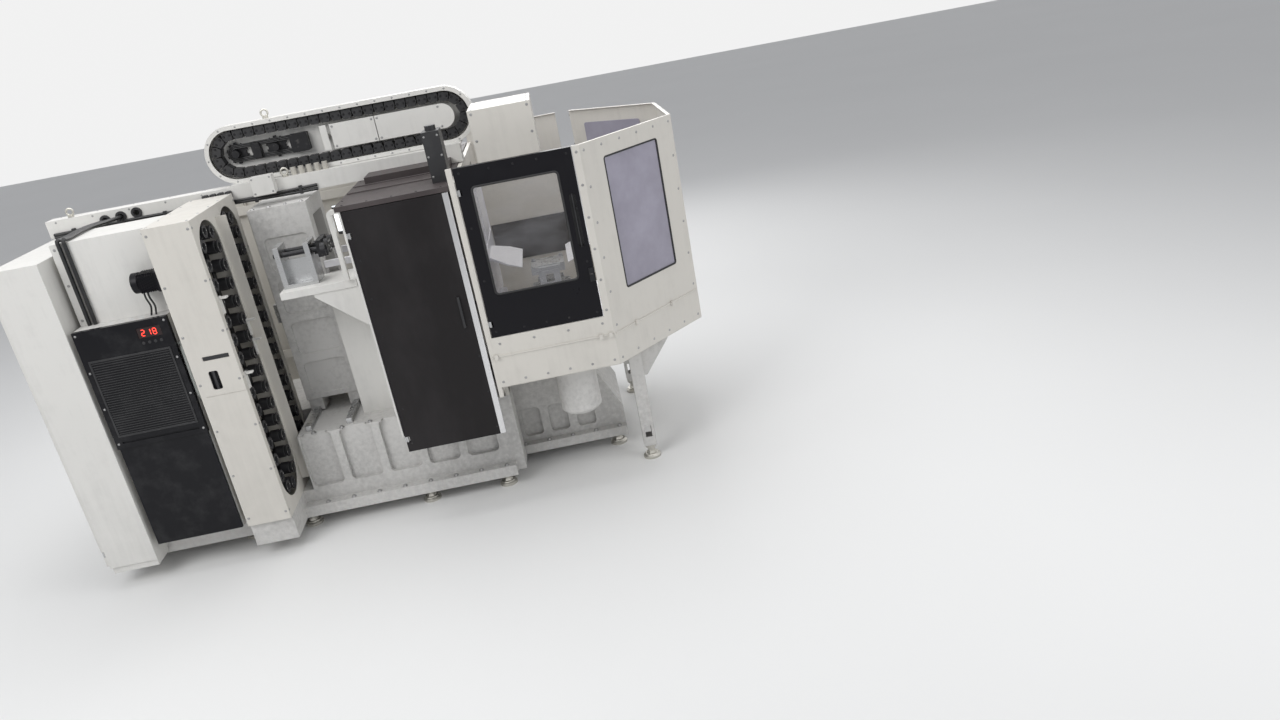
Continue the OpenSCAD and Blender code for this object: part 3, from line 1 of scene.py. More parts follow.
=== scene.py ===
"""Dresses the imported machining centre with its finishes, fasteners, seals, cables and small fittings."""
import json
import math

import bmesh
import bpy
from bpy.props import FloatProperty, FloatVectorProperty, IntProperty, PointerProperty
from mathutils import Matrix, Vector


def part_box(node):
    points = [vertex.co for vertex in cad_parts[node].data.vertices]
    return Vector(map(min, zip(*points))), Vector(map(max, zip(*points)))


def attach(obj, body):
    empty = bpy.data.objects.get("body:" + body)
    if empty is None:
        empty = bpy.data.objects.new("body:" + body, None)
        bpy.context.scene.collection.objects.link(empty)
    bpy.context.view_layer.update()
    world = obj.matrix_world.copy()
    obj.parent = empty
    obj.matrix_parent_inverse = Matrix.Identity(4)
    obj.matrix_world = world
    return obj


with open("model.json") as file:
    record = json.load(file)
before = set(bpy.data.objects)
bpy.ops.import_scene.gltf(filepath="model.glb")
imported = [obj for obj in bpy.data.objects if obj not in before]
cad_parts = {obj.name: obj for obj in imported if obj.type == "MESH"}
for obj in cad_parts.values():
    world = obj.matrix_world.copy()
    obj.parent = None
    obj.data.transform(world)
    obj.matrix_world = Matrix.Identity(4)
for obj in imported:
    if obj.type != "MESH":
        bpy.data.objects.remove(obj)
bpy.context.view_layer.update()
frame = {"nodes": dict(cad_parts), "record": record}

bl_info = {
    "name": "Machining centre dressing",
    "version": (1, 0, 0),
    "blender": (4, 5, 0),
    "location": "View3D > Sidebar > Machining centre",
    "description": "Finishes, fasteners, seals, cables and fittings of a horizontal machining centre",
    "category": "Object",
}

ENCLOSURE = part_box("loading_enclosure")
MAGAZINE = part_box("magazine_housing")
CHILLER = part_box("chiller_front")
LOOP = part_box("upper_loop_plate")
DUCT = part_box("cable_duct")
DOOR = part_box("loading_door")
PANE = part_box("door_window")
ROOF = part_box("roof_cover")
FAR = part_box("far_cover")
NEAR_SIDE = Vector((0, -1, 0))
FAR_SIDE = Vector((0, 1, 0))
UP = Vector((0, 0, 1))
END_SIDE = Vector((1, 0, 0))


def colour_setting(name, description, default):
    return FloatVectorProperty(
        name=name, description=description, subtype="COLOR", size=3, min=0, max=1, default=default
    )


def size_setting(name, description, default, low, high):
    return FloatProperty(name=name, description=description, unit="LENGTH", default=default, min=low, max=high)


class FinishSettings(bpy.types.PropertyGroup):
    """Colours of the machine's finishes."""

    ivory: colour_setting("Sheet paint", "Colour of the folded sheet panels", (0.66, 0.635, 0.585))
    white: colour_setting("Inner paint", "Colour of the inner plates, duct and cabinet", (0.72, 0.71, 0.68))
    casting: colour_setting("Casting paint", "Colour of the painted castings", (0.63, 0.62, 0.60))
    door: colour_setting("Door", "Colour of the loading door", (0.0065, 0.0062, 0.0085))
    charcoal: colour_setting("Side door", "Colour of the chamber's side door", (0.0125, 0.0108, 0.0115))
    roof: colour_setting("Roof", "Colour of the chamber's roof", (0.058, 0.049, 0.049))
    frosted: colour_setting("Corner panes", "Colour of the frosted corner panes", (0.34, 0.325, 0.39))


class FittingSettings(bpy.types.PropertyGroup):
    """Sizes of the repeated fittings."""

    screw_r: size_setting("Panel screw", "Radius of a panel screw's head", 0.0062, 0.003, 0.012)
    bolt_r: size_setting("Bolt", "Radius of a casting bolt's head", 0.013, 0.006, 0.02)
    gasket_r: size_setting("Window seal", "Radius of the seals round the corner panes", 0.006, 0.003, 0.01)
    cable_r: size_setting("Cable", "Radius of the cables along the duct", 0.009, 0.004, 0.014)
    cable_sides: IntProperty(name="Cable sides", description="Sides of a cable's round", default=12, min=6, max=24)


class StageSettings(bpy.types.PropertyGroup):
    """The camera's place and the light's strength."""

    camera_at: FloatVectorProperty(
        name="Camera", description="Place of the camera", subtype="TRANSLATION", unit="LENGTH",
        size=3, default=(1.1794, -6.0903, 2.7821),
    )
    turn: FloatVectorProperty(
        name="Camera turn", description="Turn to the side, tilt down and roll of the camera", subtype="EULER",
        size=3, default=(math.radians(2.676), math.radians(21.011), math.radians(-10.395)),
    )
    lens: FloatProperty(
        name="Lens", description="Focal length on a 36 mm wide sensor", unit="CAMERA", default=27.15, min=10, max=100
    )
    light: FloatProperty(
        name="Light", description="Share of the full studio light", default=1.0, min=0, max=3, subtype="FACTOR"
    )


class Wire:
    """A value in a node tree, whose sums add Math nodes."""

    def __init__(self, graph, socket):
        self.graph = graph
        self.socket = socket

    def _sum(self, operation, a, b):
        return self.graph.node("ShaderNodeMath", {"operation": operation}, [a, b])

    def __add__(self, other):
        return self._sum("ADD", self, other)

    def __mul__(self, other):
        return self._sum("MULTIPLY", self, other)

    __radd__ = __add__
    __rmul__ = __mul__


class Graph:
    """A node tree under construction, which gets every node from one method."""

    def __init__(self, tree):
        self.tree = tree

    def node(self, kind, settings=None, values=(), out=0):
        made = self.tree.nodes.new(kind)
        for key, value in (settings or {}).items():
            if key == "stops":
                ramp = made.color_ramp
                while len(ramp.elements) < len(value):
                    ramp.elements.new(1.0)
                for stop, (at, shade) in zip(ramp.elements, value):
                    stop.position = at
                    stop.color = (*shade, 1.0)
            else:
                setattr(made, key, value)
        for key, value in values.items() if isinstance(values, dict) else enumerate(values):
            for one in value if isinstance(value, tuple) and isinstance(value[0], Wire) else (value,):
                if isinstance(one, Wire):
                    self.tree.links.new(one.socket, made.inputs[key])
                elif one is not None:
                    made.inputs[key].default_value = one
        return Wire(self, made.outputs[out]) if made.outputs else None


class Finish(Graph):
    """One material, made of what its maker sees: colour, gloss, texture and wear."""

    def __init__(self, name):
        self.material = bpy.data.materials.new(name)
        self.material.use_nodes = True
        super().__init__(self.material.node_tree)
        self.tree.nodes.clear()
        self.place = self.node("ShaderNodeTexCoord", out="Object")
        self.across = self.node("ShaderNodeSeparateXYZ", values=[self.place], out="X")
        self.height = Wire(self, self.across.socket.node.outputs["Z"])

    def stretched(self, scale):
        return self.node("ShaderNodeMapping", values={"Vector": self.place, "Scale": scale})

    def noise(self, scale, detail=3.0, rough=0.5, where=None):
        sockets = {"Vector": where or self.place, "Scale": scale, "Detail": detail, "Roughness": rough}
        return self.node("ShaderNodeTexNoise", values=sockets)

    def between(self, value, low, high, start=0.0, end=1.0):
        return self.node("ShaderNodeMapRange", {"clamp": True}, [value, low, high, start, end])

    def blend(self, share, a, b):
        a, b = [v if isinstance(v, Wire) else (*v, 1.0) for v in (a, b)]
        return self.node("ShaderNodeMix", {"data_type": "RGBA"}, {0: share, 6: a, 7: b}, out=2)

    def rounded(self, radius):
        return self.node("ShaderNodeBevel", {"samples": 4}, {"Radius": radius})

    def bump(self, height, strength, depth, normal=None):
        sockets = {"Strength": strength, "Distance": depth, "Height": height, "Normal": normal}
        return self.node("ShaderNodeBump", values=sockets, out="Normal")

    def surface(self, **sockets):
        names = {key.replace("_", " ").title(): value for key, value in sockets.items()}
        names["IOR"] = names.pop("Ior", 1.5)
        colour = names["Base Color"]
        names["Base Color"] = colour if isinstance(colour, Wire) else (*colour, 1.0)
        shader = self.node("ShaderNodeBsdfPrincipled", values=names)
        self.node("ShaderNodeOutputMaterial", values=[shader])
        return self.material


def shaded(colour, share):
    return tuple(c * share for c in colour)


def paint(name, colour, gloss=0.42, peel=0.12, soil=0.25, edge=0.0025, ior=1.5):
    """Powder coat with a faint orange peel, soft smudges, dust near the floor and dry streaks."""
    f = Finish(name)
    cloud = f.noise(1.6, 4.0)
    smudge = f.noise(9.0, 5.0, 0.62)
    streak = f.noise(3.0, 4.0, 0.6, f.stretched((9.0, 9.0, 0.7)))
    low = f.between(f.height, 0.9, 0.0)
    soiled = f.between(smudge * streak + cloud * 0.25 + low * 0.22, 0.36, 0.72, 0.0, soil)
    base = f.blend(soiled, colour, shaded(colour, 0.55))
    dull = f.blend(soiled, shaded(colour, 0.93), shaded(colour, 0.5))
    grain = f.noise(520.0, 2.0)
    return f.surface(
        base_color=f.blend(f.between(cloud, 0.35, 0.7, 0.0, 0.5), base, dull),
        roughness=f.between(smudge, 0.3, 0.75, gloss - 0.07, gloss + 0.12) + soiled * 0.2,
        normal=f.bump(grain, peel, 0.0006, f.rounded(edge)), ior=ior,
    )


def casting(name, colour):
    """Thick brushed paint over a sand casting."""
    f = Finish(name)
    lump = f.noise(38.0, 5.0, 0.6)
    cloud = f.noise(2.2, 4.0)
    sand = f.noise(260.0, 3.0, 0.6)
    low = f.between(f.height, 0.7, 0.0)
    soiled = f.between(cloud * lump * 2.0 + low * 0.3, 0.45, 0.95, 0.0, 0.45)
    base = f.blend(soiled, colour, shaded(colour, 0.42))
    return f.surface(
        base_color=base, roughness=f.between(lump, 0.3, 0.7, 0.42, 0.6),
        normal=f.bump(lump * 0.8 + sand * 0.35, 0.32, 0.0018, f.rounded(0.005)),
    )


def metal(name, colour, gloss=0.32, lines=(4.0, 4.0, 260.0), wear=0.2, edge=0.0015):
    """Ground or brushed metal with fine lines, duller patches and a trace of oil."""
    f = Finish(name)
    line = f.noise(6.0, 2.0, 0.5, f.stretched(lines))
    patch = f.noise(6.5, 5.0, 0.6)
    film = f.between(patch, 0.5, 0.75, 0.0, wear)
    base = f.blend(film, f.blend(line * 0.5, colour, shaded(colour, 0.72)), shaded(colour, 0.45))
    return f.surface(
        base_color=base, metallic=1.0, normal=f.bump(line, 0.1, 0.0004, f.rounded(edge)),
        roughness=f.between(line, 0.2, 0.8, gloss - 0.08, gloss + 0.1) + film * 0.4,
    )


def pale_sheet(name, colour):
    """Bright brushed sheet of the inner guards, lightly coated, with wipe marks and drips of coolant."""
    f = Finish(name)
    line = f.noise(6.0, 2.0, 0.5, f.stretched((3.0, 160.0, 160.0)))
    wipe = f.noise(4.0, 4.0, 0.6, f.stretched((1.0, 2.2, 1.0)))
    drip = f.noise(14.0, 5.0, 0.65, f.stretched((1.0, 1.0, 0.35)))
    marked = f.between(drip * wipe, 0.32, 0.5, 0.0, 0.22)
    brushed = f.blend(line * 0.3, colour, shaded(colour, 0.9))
    return f.surface(
        base_color=f.blend(marked, brushed, shaded(colour, 0.62)), metallic=0.4,
        roughness=f.between(line, 0.2, 0.8, 0.26, 0.44), normal=f.bump(line, 0.06, 0.0004, f.rounded(0.0018)),
    )


def oiled_black(name, colour=(0.018, 0.018, 0.02)):
    """Blackened steel with oil shine and bare, rubbed patches."""
    f = Finish(name)
    patch = f.noise(34.0, 5.0, 0.65)
    fine = f.noise(240.0, 3.0)
    rubbed = f.between(patch, 0.58, 0.74, 0.0, 0.7)
    return f.surface(
        base_color=f.blend(rubbed, colour, (0.11, 0.105, 0.1)), metallic=0.55,
        roughness=f.between(patch, 0.3, 0.7, 0.28, 0.55), normal=f.bump(fine, 0.2, 0.0006, f.rounded(0.0012)),
    )


def moulded(name, colour, gloss=0.5, grain_size=420.0, edge=0.001, ior=1.5):
    """Moulded plastic or rubber with a fine grain and a little dust."""
    f = Finish(name)
    grain = f.noise(grain_size, 3.0, 0.6)
    dust = f.between(f.noise(7.0, 5.0, 0.65), 0.48, 0.78, 0.0, 0.35)
    return f.surface(
        base_color=f.blend(dust, colour, tuple(0.75 * c + 0.05 for c in colour)),
        roughness=f.between(grain, 0.2, 0.8, gloss - 0.08, gloss + 0.1) + dust * 0.15,
        normal=f.bump(grain, 0.22, 0.0006, f.rounded(edge)), ior=ior,
    )


def textured_dark(name, colour):
    """Dark textured coat with wiped, slightly paler sweeps."""
    f = Finish(name)
    wipe = f.noise(2.4, 5.0, 0.6, f.stretched((1.4, 1.4, 0.6)))
    grain = f.noise(640.0, 3.0, 0.65)
    fleck = f.between(f.noise(300.0, 1.0), 0.66, 0.74, 0.0, 0.4)
    base = f.blend(f.between(wipe, 0.42, 0.68, 0.0, 0.75), colour, tuple(1.5 * c + 0.006 for c in colour))
    return f.surface(
        base_color=f.blend(fleck, base, tuple(1.8 * c + 0.02 for c in colour)), ior=1.3,
        roughness=f.between(wipe, 0.3, 0.7, 0.34, 0.52), normal=f.bump(grain, 0.3, 0.0006, f.rounded(0.003)),
    )


def tinted_pane(name):
    """Clear safety pane with a slight grey tint, wipe marks and fine droplets."""
    f = Finish(name)
    wipe = f.noise(5.0, 4.0, 0.6, f.stretched((1.0, 1.0, 2.5)))
    drop = f.between(f.noise(150.0, 2.0), 0.68, 0.72, 0.0, 0.35)
    return f.surface(
        base_color=f.blend(wipe, (0.5, 0.51, 0.55), (0.62, 0.62, 0.66)), ior=1.3,
        roughness=f.between(wipe, 0.3, 0.7, 0.04, 0.12), normal=f.bump(drop, 0.1, 0.0004),
        alpha=f.between(wipe, 0.35, 0.7, 0.02, 0.08) + drop * 0.3,
    )


def frosted_pane(name, colour):
    """Frosted pane behind a protective film with small bubbles and creases."""
    f = Finish(name)
    cloud = f.noise(3.0, 5.0, 0.6)
    bubble = f.between(f.noise(90.0, 2.0), 0.66, 0.72)
    crease = f.noise(5.0, 3.0, 0.5, f.stretched((2.0, 2.0, 11.0)))
    return f.surface(
        base_color=f.blend(f.between(cloud, 0.35, 0.7), colour, tuple(min(1.0, 1.22 * c) for c in colour)),
        roughness=f.between(crease, 0.3, 0.7, 0.3, 0.5), alpha=f.between(cloud, 0.3, 0.75, 0.82, 0.93),
        normal=f.bump(crease * 0.7 + bubble * 0.3, 0.25, 0.001),
    )


def lit(name, colour, strength):
    """Lit tube or digit with a slightly uneven glow."""
    f = Finish(name)
    glow = f.between(f.noise(30.0, 2.0), 0.3, 0.7, 0.85, 1.0)
    shade = f.blend(glow, shaded(colour, 0.8), colour)
    return f.surface(base_color=shade, roughness=0.4, emission_color=shade, emission_strength=strength)


def duct_fitting_finish(name, white):
    """Black grommets and plugs, with the pale junction box and gland caps farther along the duct."""
    f = Finish(name)
    grain = f.noise(400.0, 3.0, 0.6)
    patch = f.noise(12.0, 4.0)
    far_along = f.between(f.across, -0.66, -0.65)
    caps = f.between(f.across, -0.47, -0.46)
    black = f.blend(patch, (0.014, 0.014, 0.016), (0.03, 0.03, 0.032))
    box = f.blend(patch, tuple(min(1.0, 1.2 * c) for c in white), white)
    cap = f.blend(patch, (0.55, 0.53, 0.48), (0.4, 0.38, 0.34))
    return f.surface(
        base_color=f.blend(caps, f.blend(far_along, black, box), cap),
        roughness=f.between(grain, 0.2, 0.8, 0.35, 0.5), normal=f.bump(grain, 0.2, 0.0005, f.rounded(0.0015)),
    )


def hose_wall(name):
    """Milky clear hose with a faint spiral and dried drops inside."""
    f = Finish(name)
    sockets = {"Vector": f.place, "Scale": 60.0, "Distortion": 1.0}
    ring = f.node("ShaderNodeTexWave", {"bands_direction": "Z"}, sockets)
    patch = f.noise(40.0, 3.0)
    return f.surface(
        base_color=f.blend(patch, (0.5, 0.52, 0.49), (0.34, 0.36, 0.34)), normal=f.bump(ring, 0.15, 0.0006),
        roughness=f.between(ring, 0.0, 1.0, 0.16, 0.3), alpha=f.between(patch, 0.3, 0.7, 0.62, 0.85),
    )


FINISHES = {}


def make_finishes(colours):
    FINISHES.update(
        ivory_paint=paint("Ivory sheet paint", colours.ivory),
        white_paint=paint("White inner paint", colours.white, 0.46, 0.15, 0.3),
        bright_sheet=pale_sheet("Bright sheet", (0.88, 0.875, 0.9)),
        # dim_band is painted shade: a dark sheet where the lower far wall of the loading station lies in shade
        dim_band=moulded("Inner apron", (0.075, 0.07, 0.066), 0.6, 60.0),
        casting_paint=casting("Casting paint", colours.casting),
        dark_roof=textured_dark("Roof coat", colours.roof),
        charcoal_paint=textured_dark("Charcoal coat", colours.charcoal),
        black_paint=paint("Door black", colours.door, 0.34, 0.1, 0.35, ior=1.28),
        black_steel=oiled_black("Oiled black steel"),
        black_plastic=moulded("Black plastic", (0.018, 0.018, 0.02), 0.42),
        gloss_black=moulded("Gloss black front", (0.007, 0.007, 0.009), 0.2, 700.0, ior=1.3),
        ground_steel=metal("Ground steel", (0.56, 0.565, 0.57), 0.28),
        zinc_steel=metal("Zinc plate", (0.58, 0.565, 0.52), 0.38, (30.0, 30.0, 30.0), 0.3),
        aluminium=metal("Bright profile", (0.78, 0.78, 0.79), 0.24, (200.0, 200.0, 3.0), 0.1),
        door_glass=tinted_pane("Door pane"),
        frosted_glass=frosted_pane("Corner pane", colours.frosted),
        lamp_glass=lit("Lamp tube", (0.9, 0.96, 1.0), 1.6),
        hose_rubber=moulded("Hose rubber", (0.012, 0.012, 0.013), 0.38, 300.0),
        clear_hose=hose_wall("Clear hose"),
        seal_rubber=moulded("Seal rubber", (0.016, 0.016, 0.017), 0.55, 260.0),
        red_digits=lit("Display digits", (0.95, 0.05, 0.03), 3.0),
        dark_pane=moulded("Display pane", (0.02, 0.008, 0.008), 0.12, 800.0),
        screw_steel=metal("Screw steel", (0.42, 0.42, 0.42), 0.35, (60.0, 60.0, 60.0), 0.3, 0.0008),
        duct_fittings=duct_fitting_finish("Duct fitting finish", colours.white),
    )


class Tree(Graph):
    """A geometry tree with named inputs, ending in plain geometry with a material."""

    def __init__(self, name, sizes):
        tree = bpy.data.node_groups.new(name, "GeometryNodeTree")
        super().__init__(tree)
        tree.interface.new_socket("Geometry", in_out="INPUT", socket_type="NodeSocketGeometry")
        for size, kind in sizes.items():
            tree.interface.new_socket(size, in_out="INPUT", socket_type=kind)
        tree.interface.new_socket("Material", in_out="INPUT", socket_type="NodeSocketMaterial")
        tree.interface.new_socket("Geometry", in_out="OUTPUT", socket_type="NodeSocketGeometry")
        entry = tree.nodes.new("NodeGroupInput")
        self.given = {s.name: Wire(self, s) for s in entry.outputs if s.name}

    def on_points(self, instance, turn=None):
        sockets = {"Points": self.given["Geometry"], "Instance": instance, "Rotation": turn}
        return self.node("GeometryNodeInstanceOnPoints", values=sockets)

    def facing(self):
        arrow = self.node("GeometryNodeInputNamedAttribute", {"data_type": "FLOAT_VECTOR"}, {"Name": "facing"})
        return self.node("FunctionNodeAlignRotationToVector", {"axis": "Z"}, {"Vector": arrow})

    def finish(self, geometry):
        plain = self.node("GeometryNodeRealizeInstances", values=[geometry])
        sockets = {"Geometry": plain, "Material": self.given["Material"]}
        self.node("NodeGroupOutput", values=[self.node("GeometryNodeSetMaterial", values=sockets)])
        return self.tree


def screw_tree():
    """A tapered head on a thin washer."""
    sizes = {"Head Radius": "NodeSocketFloat", "Head Height": "NodeSocketFloat", "Sides": "NodeSocketInt"}
    t = Tree("Screw heads", sizes)
    r, h, sides = (t.given[size] for size in sizes)
    head = {"Vertices": sides, "Radius Top": r * 0.78, "Radius Bottom": r, "Depth": h}
    washer = {"Vertices": 12, "Radius Top": r * 1.28, "Radius Bottom": r * 1.34, "Depth": h * 0.22}
    cones = tuple(t.node("GeometryNodeMeshCone", values=sockets) for sockets in (head, washer))
    both = t.node("GeometryNodeJoinGeometry", values={"Geometry": cones})
    return t.finish(t.on_points(both, t.facing()))


def slat_tree():
    t = Tree("Slats", {"Size": "NodeSocketVector"})
    return t.finish(t.on_points(t.node("GeometryNodeMeshCube", values={"Size": t.given["Size"]})))


def run_tree():
    t = Tree("Round runs", {"Radius": "NodeSocketFloat", "Sides": "NodeSocketInt"})
    path = t.node("GeometryNodeMeshToCurve", values={"Mesh": t.given["Geometry"]})
    sockets = {"Resolution": t.given["Sides"], "Radius": t.given["Radius"]}
    profile = t.node("GeometryNodeCurvePrimitiveCircle", values=sockets)
    tube = t.node("GeometryNodeCurveToMesh", values={"Curve": path, "Profile Curve": profile, "Fill Caps": True})
    return t.finish(t.node("GeometryNodeSetShadeSmooth", values={"Geometry": tube}))


TREES = {}


def tree_named(name):
    makers = {"screws": screw_tree, "slats": slat_tree, "runs": run_tree}
    if name not in TREES:
        TREES[name] = makers[name]()
    return TREES[name]


def link(name, mesh, body, finish):
    piece = bpy.data.objects.new(name, mesh)
    bpy.context.scene.collection.objects.link(piece)
    if not mesh.materials:
        mesh.materials.append(FINISHES[finish])
    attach(piece, body)
    return piece


def grown(name, seed_mesh, tree, sizes, body, finish):
    """Runs a geometry tree on a seed mesh and keeps the result as a plain piece."""
    seed = bpy.data.objects.new(name + "_seed", seed_mesh)
    bpy.context.scene.collection.objects.link(seed)
    made = seed.modifiers.new("Made", "NODES")
    made.node_group = tree_named(tree)
    sockets = {s.name: s.identifier for s in made.node_group.interface.items_tree if s.in_out == "INPUT"}
    for key, value in {**sizes, "Material": FINISHES[finish]}.items():
        made[sockets[key]] = value
    graph = bpy.context.evaluated_depsgraph_get()
    mesh = bpy.data.meshes.new_from_object(
        seed.evaluated_get(graph), preserve_all_data_layers=True, depsgraph=graph
    )
    seed.modifiers.remove(made)
    bpy.data.objects.remove(seed)
    if not mesh.polygons:
        raise RuntimeError(name + " came out empty")
    if "facing" in mesh.attributes:
        mesh.attributes.remove(mesh.attributes["facing"])
    mesh.name = name
    return link(name, mesh, body, finish)


def screws(name, spots, body, radius=None, height=None, sides=10, finish="screw_steel"):
    """Screw heads at (place, facing) pairs."""
    radius = radius or bpy.context.scene.centre_fittings.screw_r
    height = height or radius * 0.5
    mesh = bpy.data.meshes.new(name + "_spots")
    mesh.from_pydata([Vector(p) - Vector(n) * height * 0.15 for p, n in spots], [], [])
    arrow = mesh.attributes.new("facing", "FLOAT_VECTOR", "POINT")
    for i, (_, n) in enumerate(spots):
        arrow.data[i].vector = n
    sizes = {"Head Radius": radius, "Head Height": height, "Sides": sides}
    return grown(name, mesh, "screws", sizes, body, finish)


def slats(name, spots, size, body, finish):
    """Blocks of one size about the given places."""
    mesh = bpy.data.meshes.new(name + "_spots")
    mesh.from_pydata([Vector(p) for p in spots], [], [])
    return grown(name, mesh, "slats", {"Size": size}, body, finish)


def curve_through(points, steps=6):
    """Smooth points through the given ones."""
    p = [Vector(q) for q in points]
    p = [2 * p[0] - p[1], *p, 2 * p[-1] - p[-2]]
    out = []
    for a, b, c, d in zip(p, p[1:], p[2:], p[3:]):
        for t in (k / steps for k in range(steps)):
            bend = (2 * a - 5 * b + 4 * c - d) * t**2 + (3 * b - a - 3 * c + d) * t**3
            out.append(0.5 * (2 * b + (c - a) * t + bend))
    return [*out, p[-2]]


def runs(name, paths, radius, body, finish, closed=False, sides=None):
    """Round runs along each path: cables, seals and rolled edges."""
    verts, edges = [], []
    for path in paths:
        first = len(verts)
        verts += [Vector(q) for q in path]
        edges += [(i, i + 1) for i in range(first, len(verts) - 1)]
        if closed:
            edges.append((len(verts) - 1, first))
    mesh = bpy.data.meshes.new(name + "_path")
    mesh.from_pydata(verts, edges, [])
    sides = sides or bpy.context.scene.centre_fittings.cable_sides
    return grown(name, mesh, "runs", {"Radius": radius, "Sides": sides}, body, finish)


SHARP = 0.6  # radians between faces, past which an edge is broken


def built(name, parts, body, finish, edge=0.0, smooth=False):
    """A piece of closed parts, each a function that adds to the mesh, with its edges broken."""
    bm = bmesh.new()
    for part in parts:
        part(bm)
    if edge:
        sharp = [e for e in bm.edges if e.is_manifold and e.calc_face_angle(0) > SHARP]
        bmesh.ops.bevel(bm, geom=sharp, offset=edge, segments=2, affect="EDGES", clamp_overlap=True)
    bmesh.ops.recalc_face_normals(bm, faces=bm.faces)
    mesh = bpy.data.meshes.new(name)
    bm.to_mesh(mesh)
    bm.free()
    if smooth:
        mesh.polygons.foreach_set("use_smooth", [True] * len(mesh.polygons))
    return link(name, mesh, body, finish)


def bar(low, high):
    """Block between two corners."""
    low, high = Vector(low), Vector(high)

    def add(bm):
        at = Matrix.Translation((low + high) / 2) @ Matrix.Diagonal((*(high - low), 1.0))
        bmesh.ops.create_cube(bm, size=1.0, matrix=at)

    return add


def turned(centre, axis, profile, sides=24):
    """Turned form from (radius, distance along the axis) pairs, a ring where the last pair repeats the first."""
    turn = Vector(axis).to_track_quat("Z", "Y").to_matrix()
    centre = Vector(centre)
    hollow = profile[0] == profile[-1]

    def add(bm):
        rings = []
        for r, h in profile[:-1] if hollow else profile:
            angles = [2 * math.pi * k / sides for k in range(sides)] if r else [0.0]
            places = [Vector((r * math.cos(a), r * math.sin(a), h)) for a in angles]
            rings.append([bm.verts.new(centre + turn @ place) for place in places])
        for a, b in zip(rings, rings[1:] + rings[:1] if hollow else rings[1:]):
            for k in range(sides):
                j = (k + 1) % sides
                quad = [a[k % len(a)], a[j % len(a)], b[j % len(b)], b[k % len(b)]]
                bm.faces.new(list(dict.fromkeys(quad)))
        for ring in () if hollow else (rings[0], rings[-1]):
            if len(ring) > 1:
                bm.faces.new(ring)

    return add


def rounded_loop(centre, right, up, width, height, radius, steps=6):
    """Points of a round-cornered rectangle in the plane of two directions."""
    out = []
    for k, (sx, sy) in enumerate(((1, 1), (-1, 1), (-1, -1), (1, -1))):
        for i in range(steps + 1):
            a = math.pi / 2 * (k + i / steps)
            x = sx * (width / 2 - radius) + radius * math.cos(a)
            y = sy * (height / 2 - radius) + radius * math.sin(a)
            out.append(Vector(centre) + Vector(right) * x + Vector(up) * y)
    return out


def stadium_points(run, radius, count, phase=0.0):
    """Places and headings, evenly spaced round a stadium."""
    whole = 2 * run + 2 * math.pi * radius
    out = []
    for i in range(count):
        s = (i + phase) * whole / count % whole
        bend = math.pi * radius
        if s < run:
            x, z, a = s - run / 2, radius, 0.0
        elif s < run + bend:
            a = -(s - run) / radius
            x, z = run / 2 - radius * math.sin(a), radius * math.cos(a)
        elif s < 2 * run + bend:
            x, z, a = run / 2 - (s - run - bend), -radius, math.pi
        else:
            a = math.pi - (s - 2 * run - bend) / radius
            x, z = -run / 2 - radius * math.sin(math.pi - a), radius * math.cos(a)
        out.append((x, z, a))
    return out


def spread(low, high, step):
    """Even places from low to high, about a step apart."""
    count = max(1, round((high - low) / step))
    return [low + (high - low) * i / count for i in range(count + 1)]


def within(low, high, by):
    """Both ends of a span, drawn in by a distance."""
    return low + by, high - by


def grid(xs, ys, zs, facing):
    """Places at every crossing of the given lines, each with the side that it faces."""
    xs, ys, zs = ((line,) if isinstance(line, (int, float)) else line for line in (xs, ys, zs))
    return [((x, y, z), facing) for x in xs for y in ys for z in zs]


def plate(x, z, half_w, half_h, front, back):
    """Block about a centre, between two distances from the near side."""
    return bar((x - half_w, front, z - half_h), (x + half_w, back, z + half_h))


# Lines along the machine's length, and the height of the enclosure's fold, as the part's source has them.
CABINET_GAP = -1.017
MAGAZINE_SIDE = -0.764
BAY_END = -0.013
WALL_START = 0.62
SKIRT_FOLD = 1.045
EDGE_SIDES = 8  # round seals, beads and rolled edges

CORNER_START = Vector((1.308, -0.890, 0.0))
CORNER_END = Vector((1.880, -0.358, 0.0))
CORNER_WAY = (CORNER_END - CORNER_START).normalized()
CORNER_OUT = Vector((CORNER_WAY.y, -CORNER_WAY.x, 0.0))
CORNER_L = (CORNER_END - CORNER_START).length


def flip(v, side):
    return Vector((v[0], v[1] * -side, v[2]))


def on_corner(side, along, z, out=0.0):
    return flip(CORNER_START + CORNER_WAY * along + CORNER_OUT * out + UP * z, side)


class DressPiece:
    """What the operators share."""

    bl_options = {"REGISTER", "UNDO"}


class OBJECT_OT_centre_finishes(DressPiece, bpy.types.Operator):
    """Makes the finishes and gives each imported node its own"""

    bl_idname = "object.centre_finishes"
    bl_label = "Finishes"

    def execute(self, context):
        make_finishes(context.scene.centre_finish)
        for part in frame["record"]["subparts"]:
            own = part["node"] if part["node"] in FINISHES else part["material_slot"]
            node = frame["nodes"][part["node"]]
            if not node.material_slots:
                node.data.materials.append(FINISHES[own])
            for slot in node.material_slots:
                slot.material = FINISHES[own]
        return {"FINISHED"}


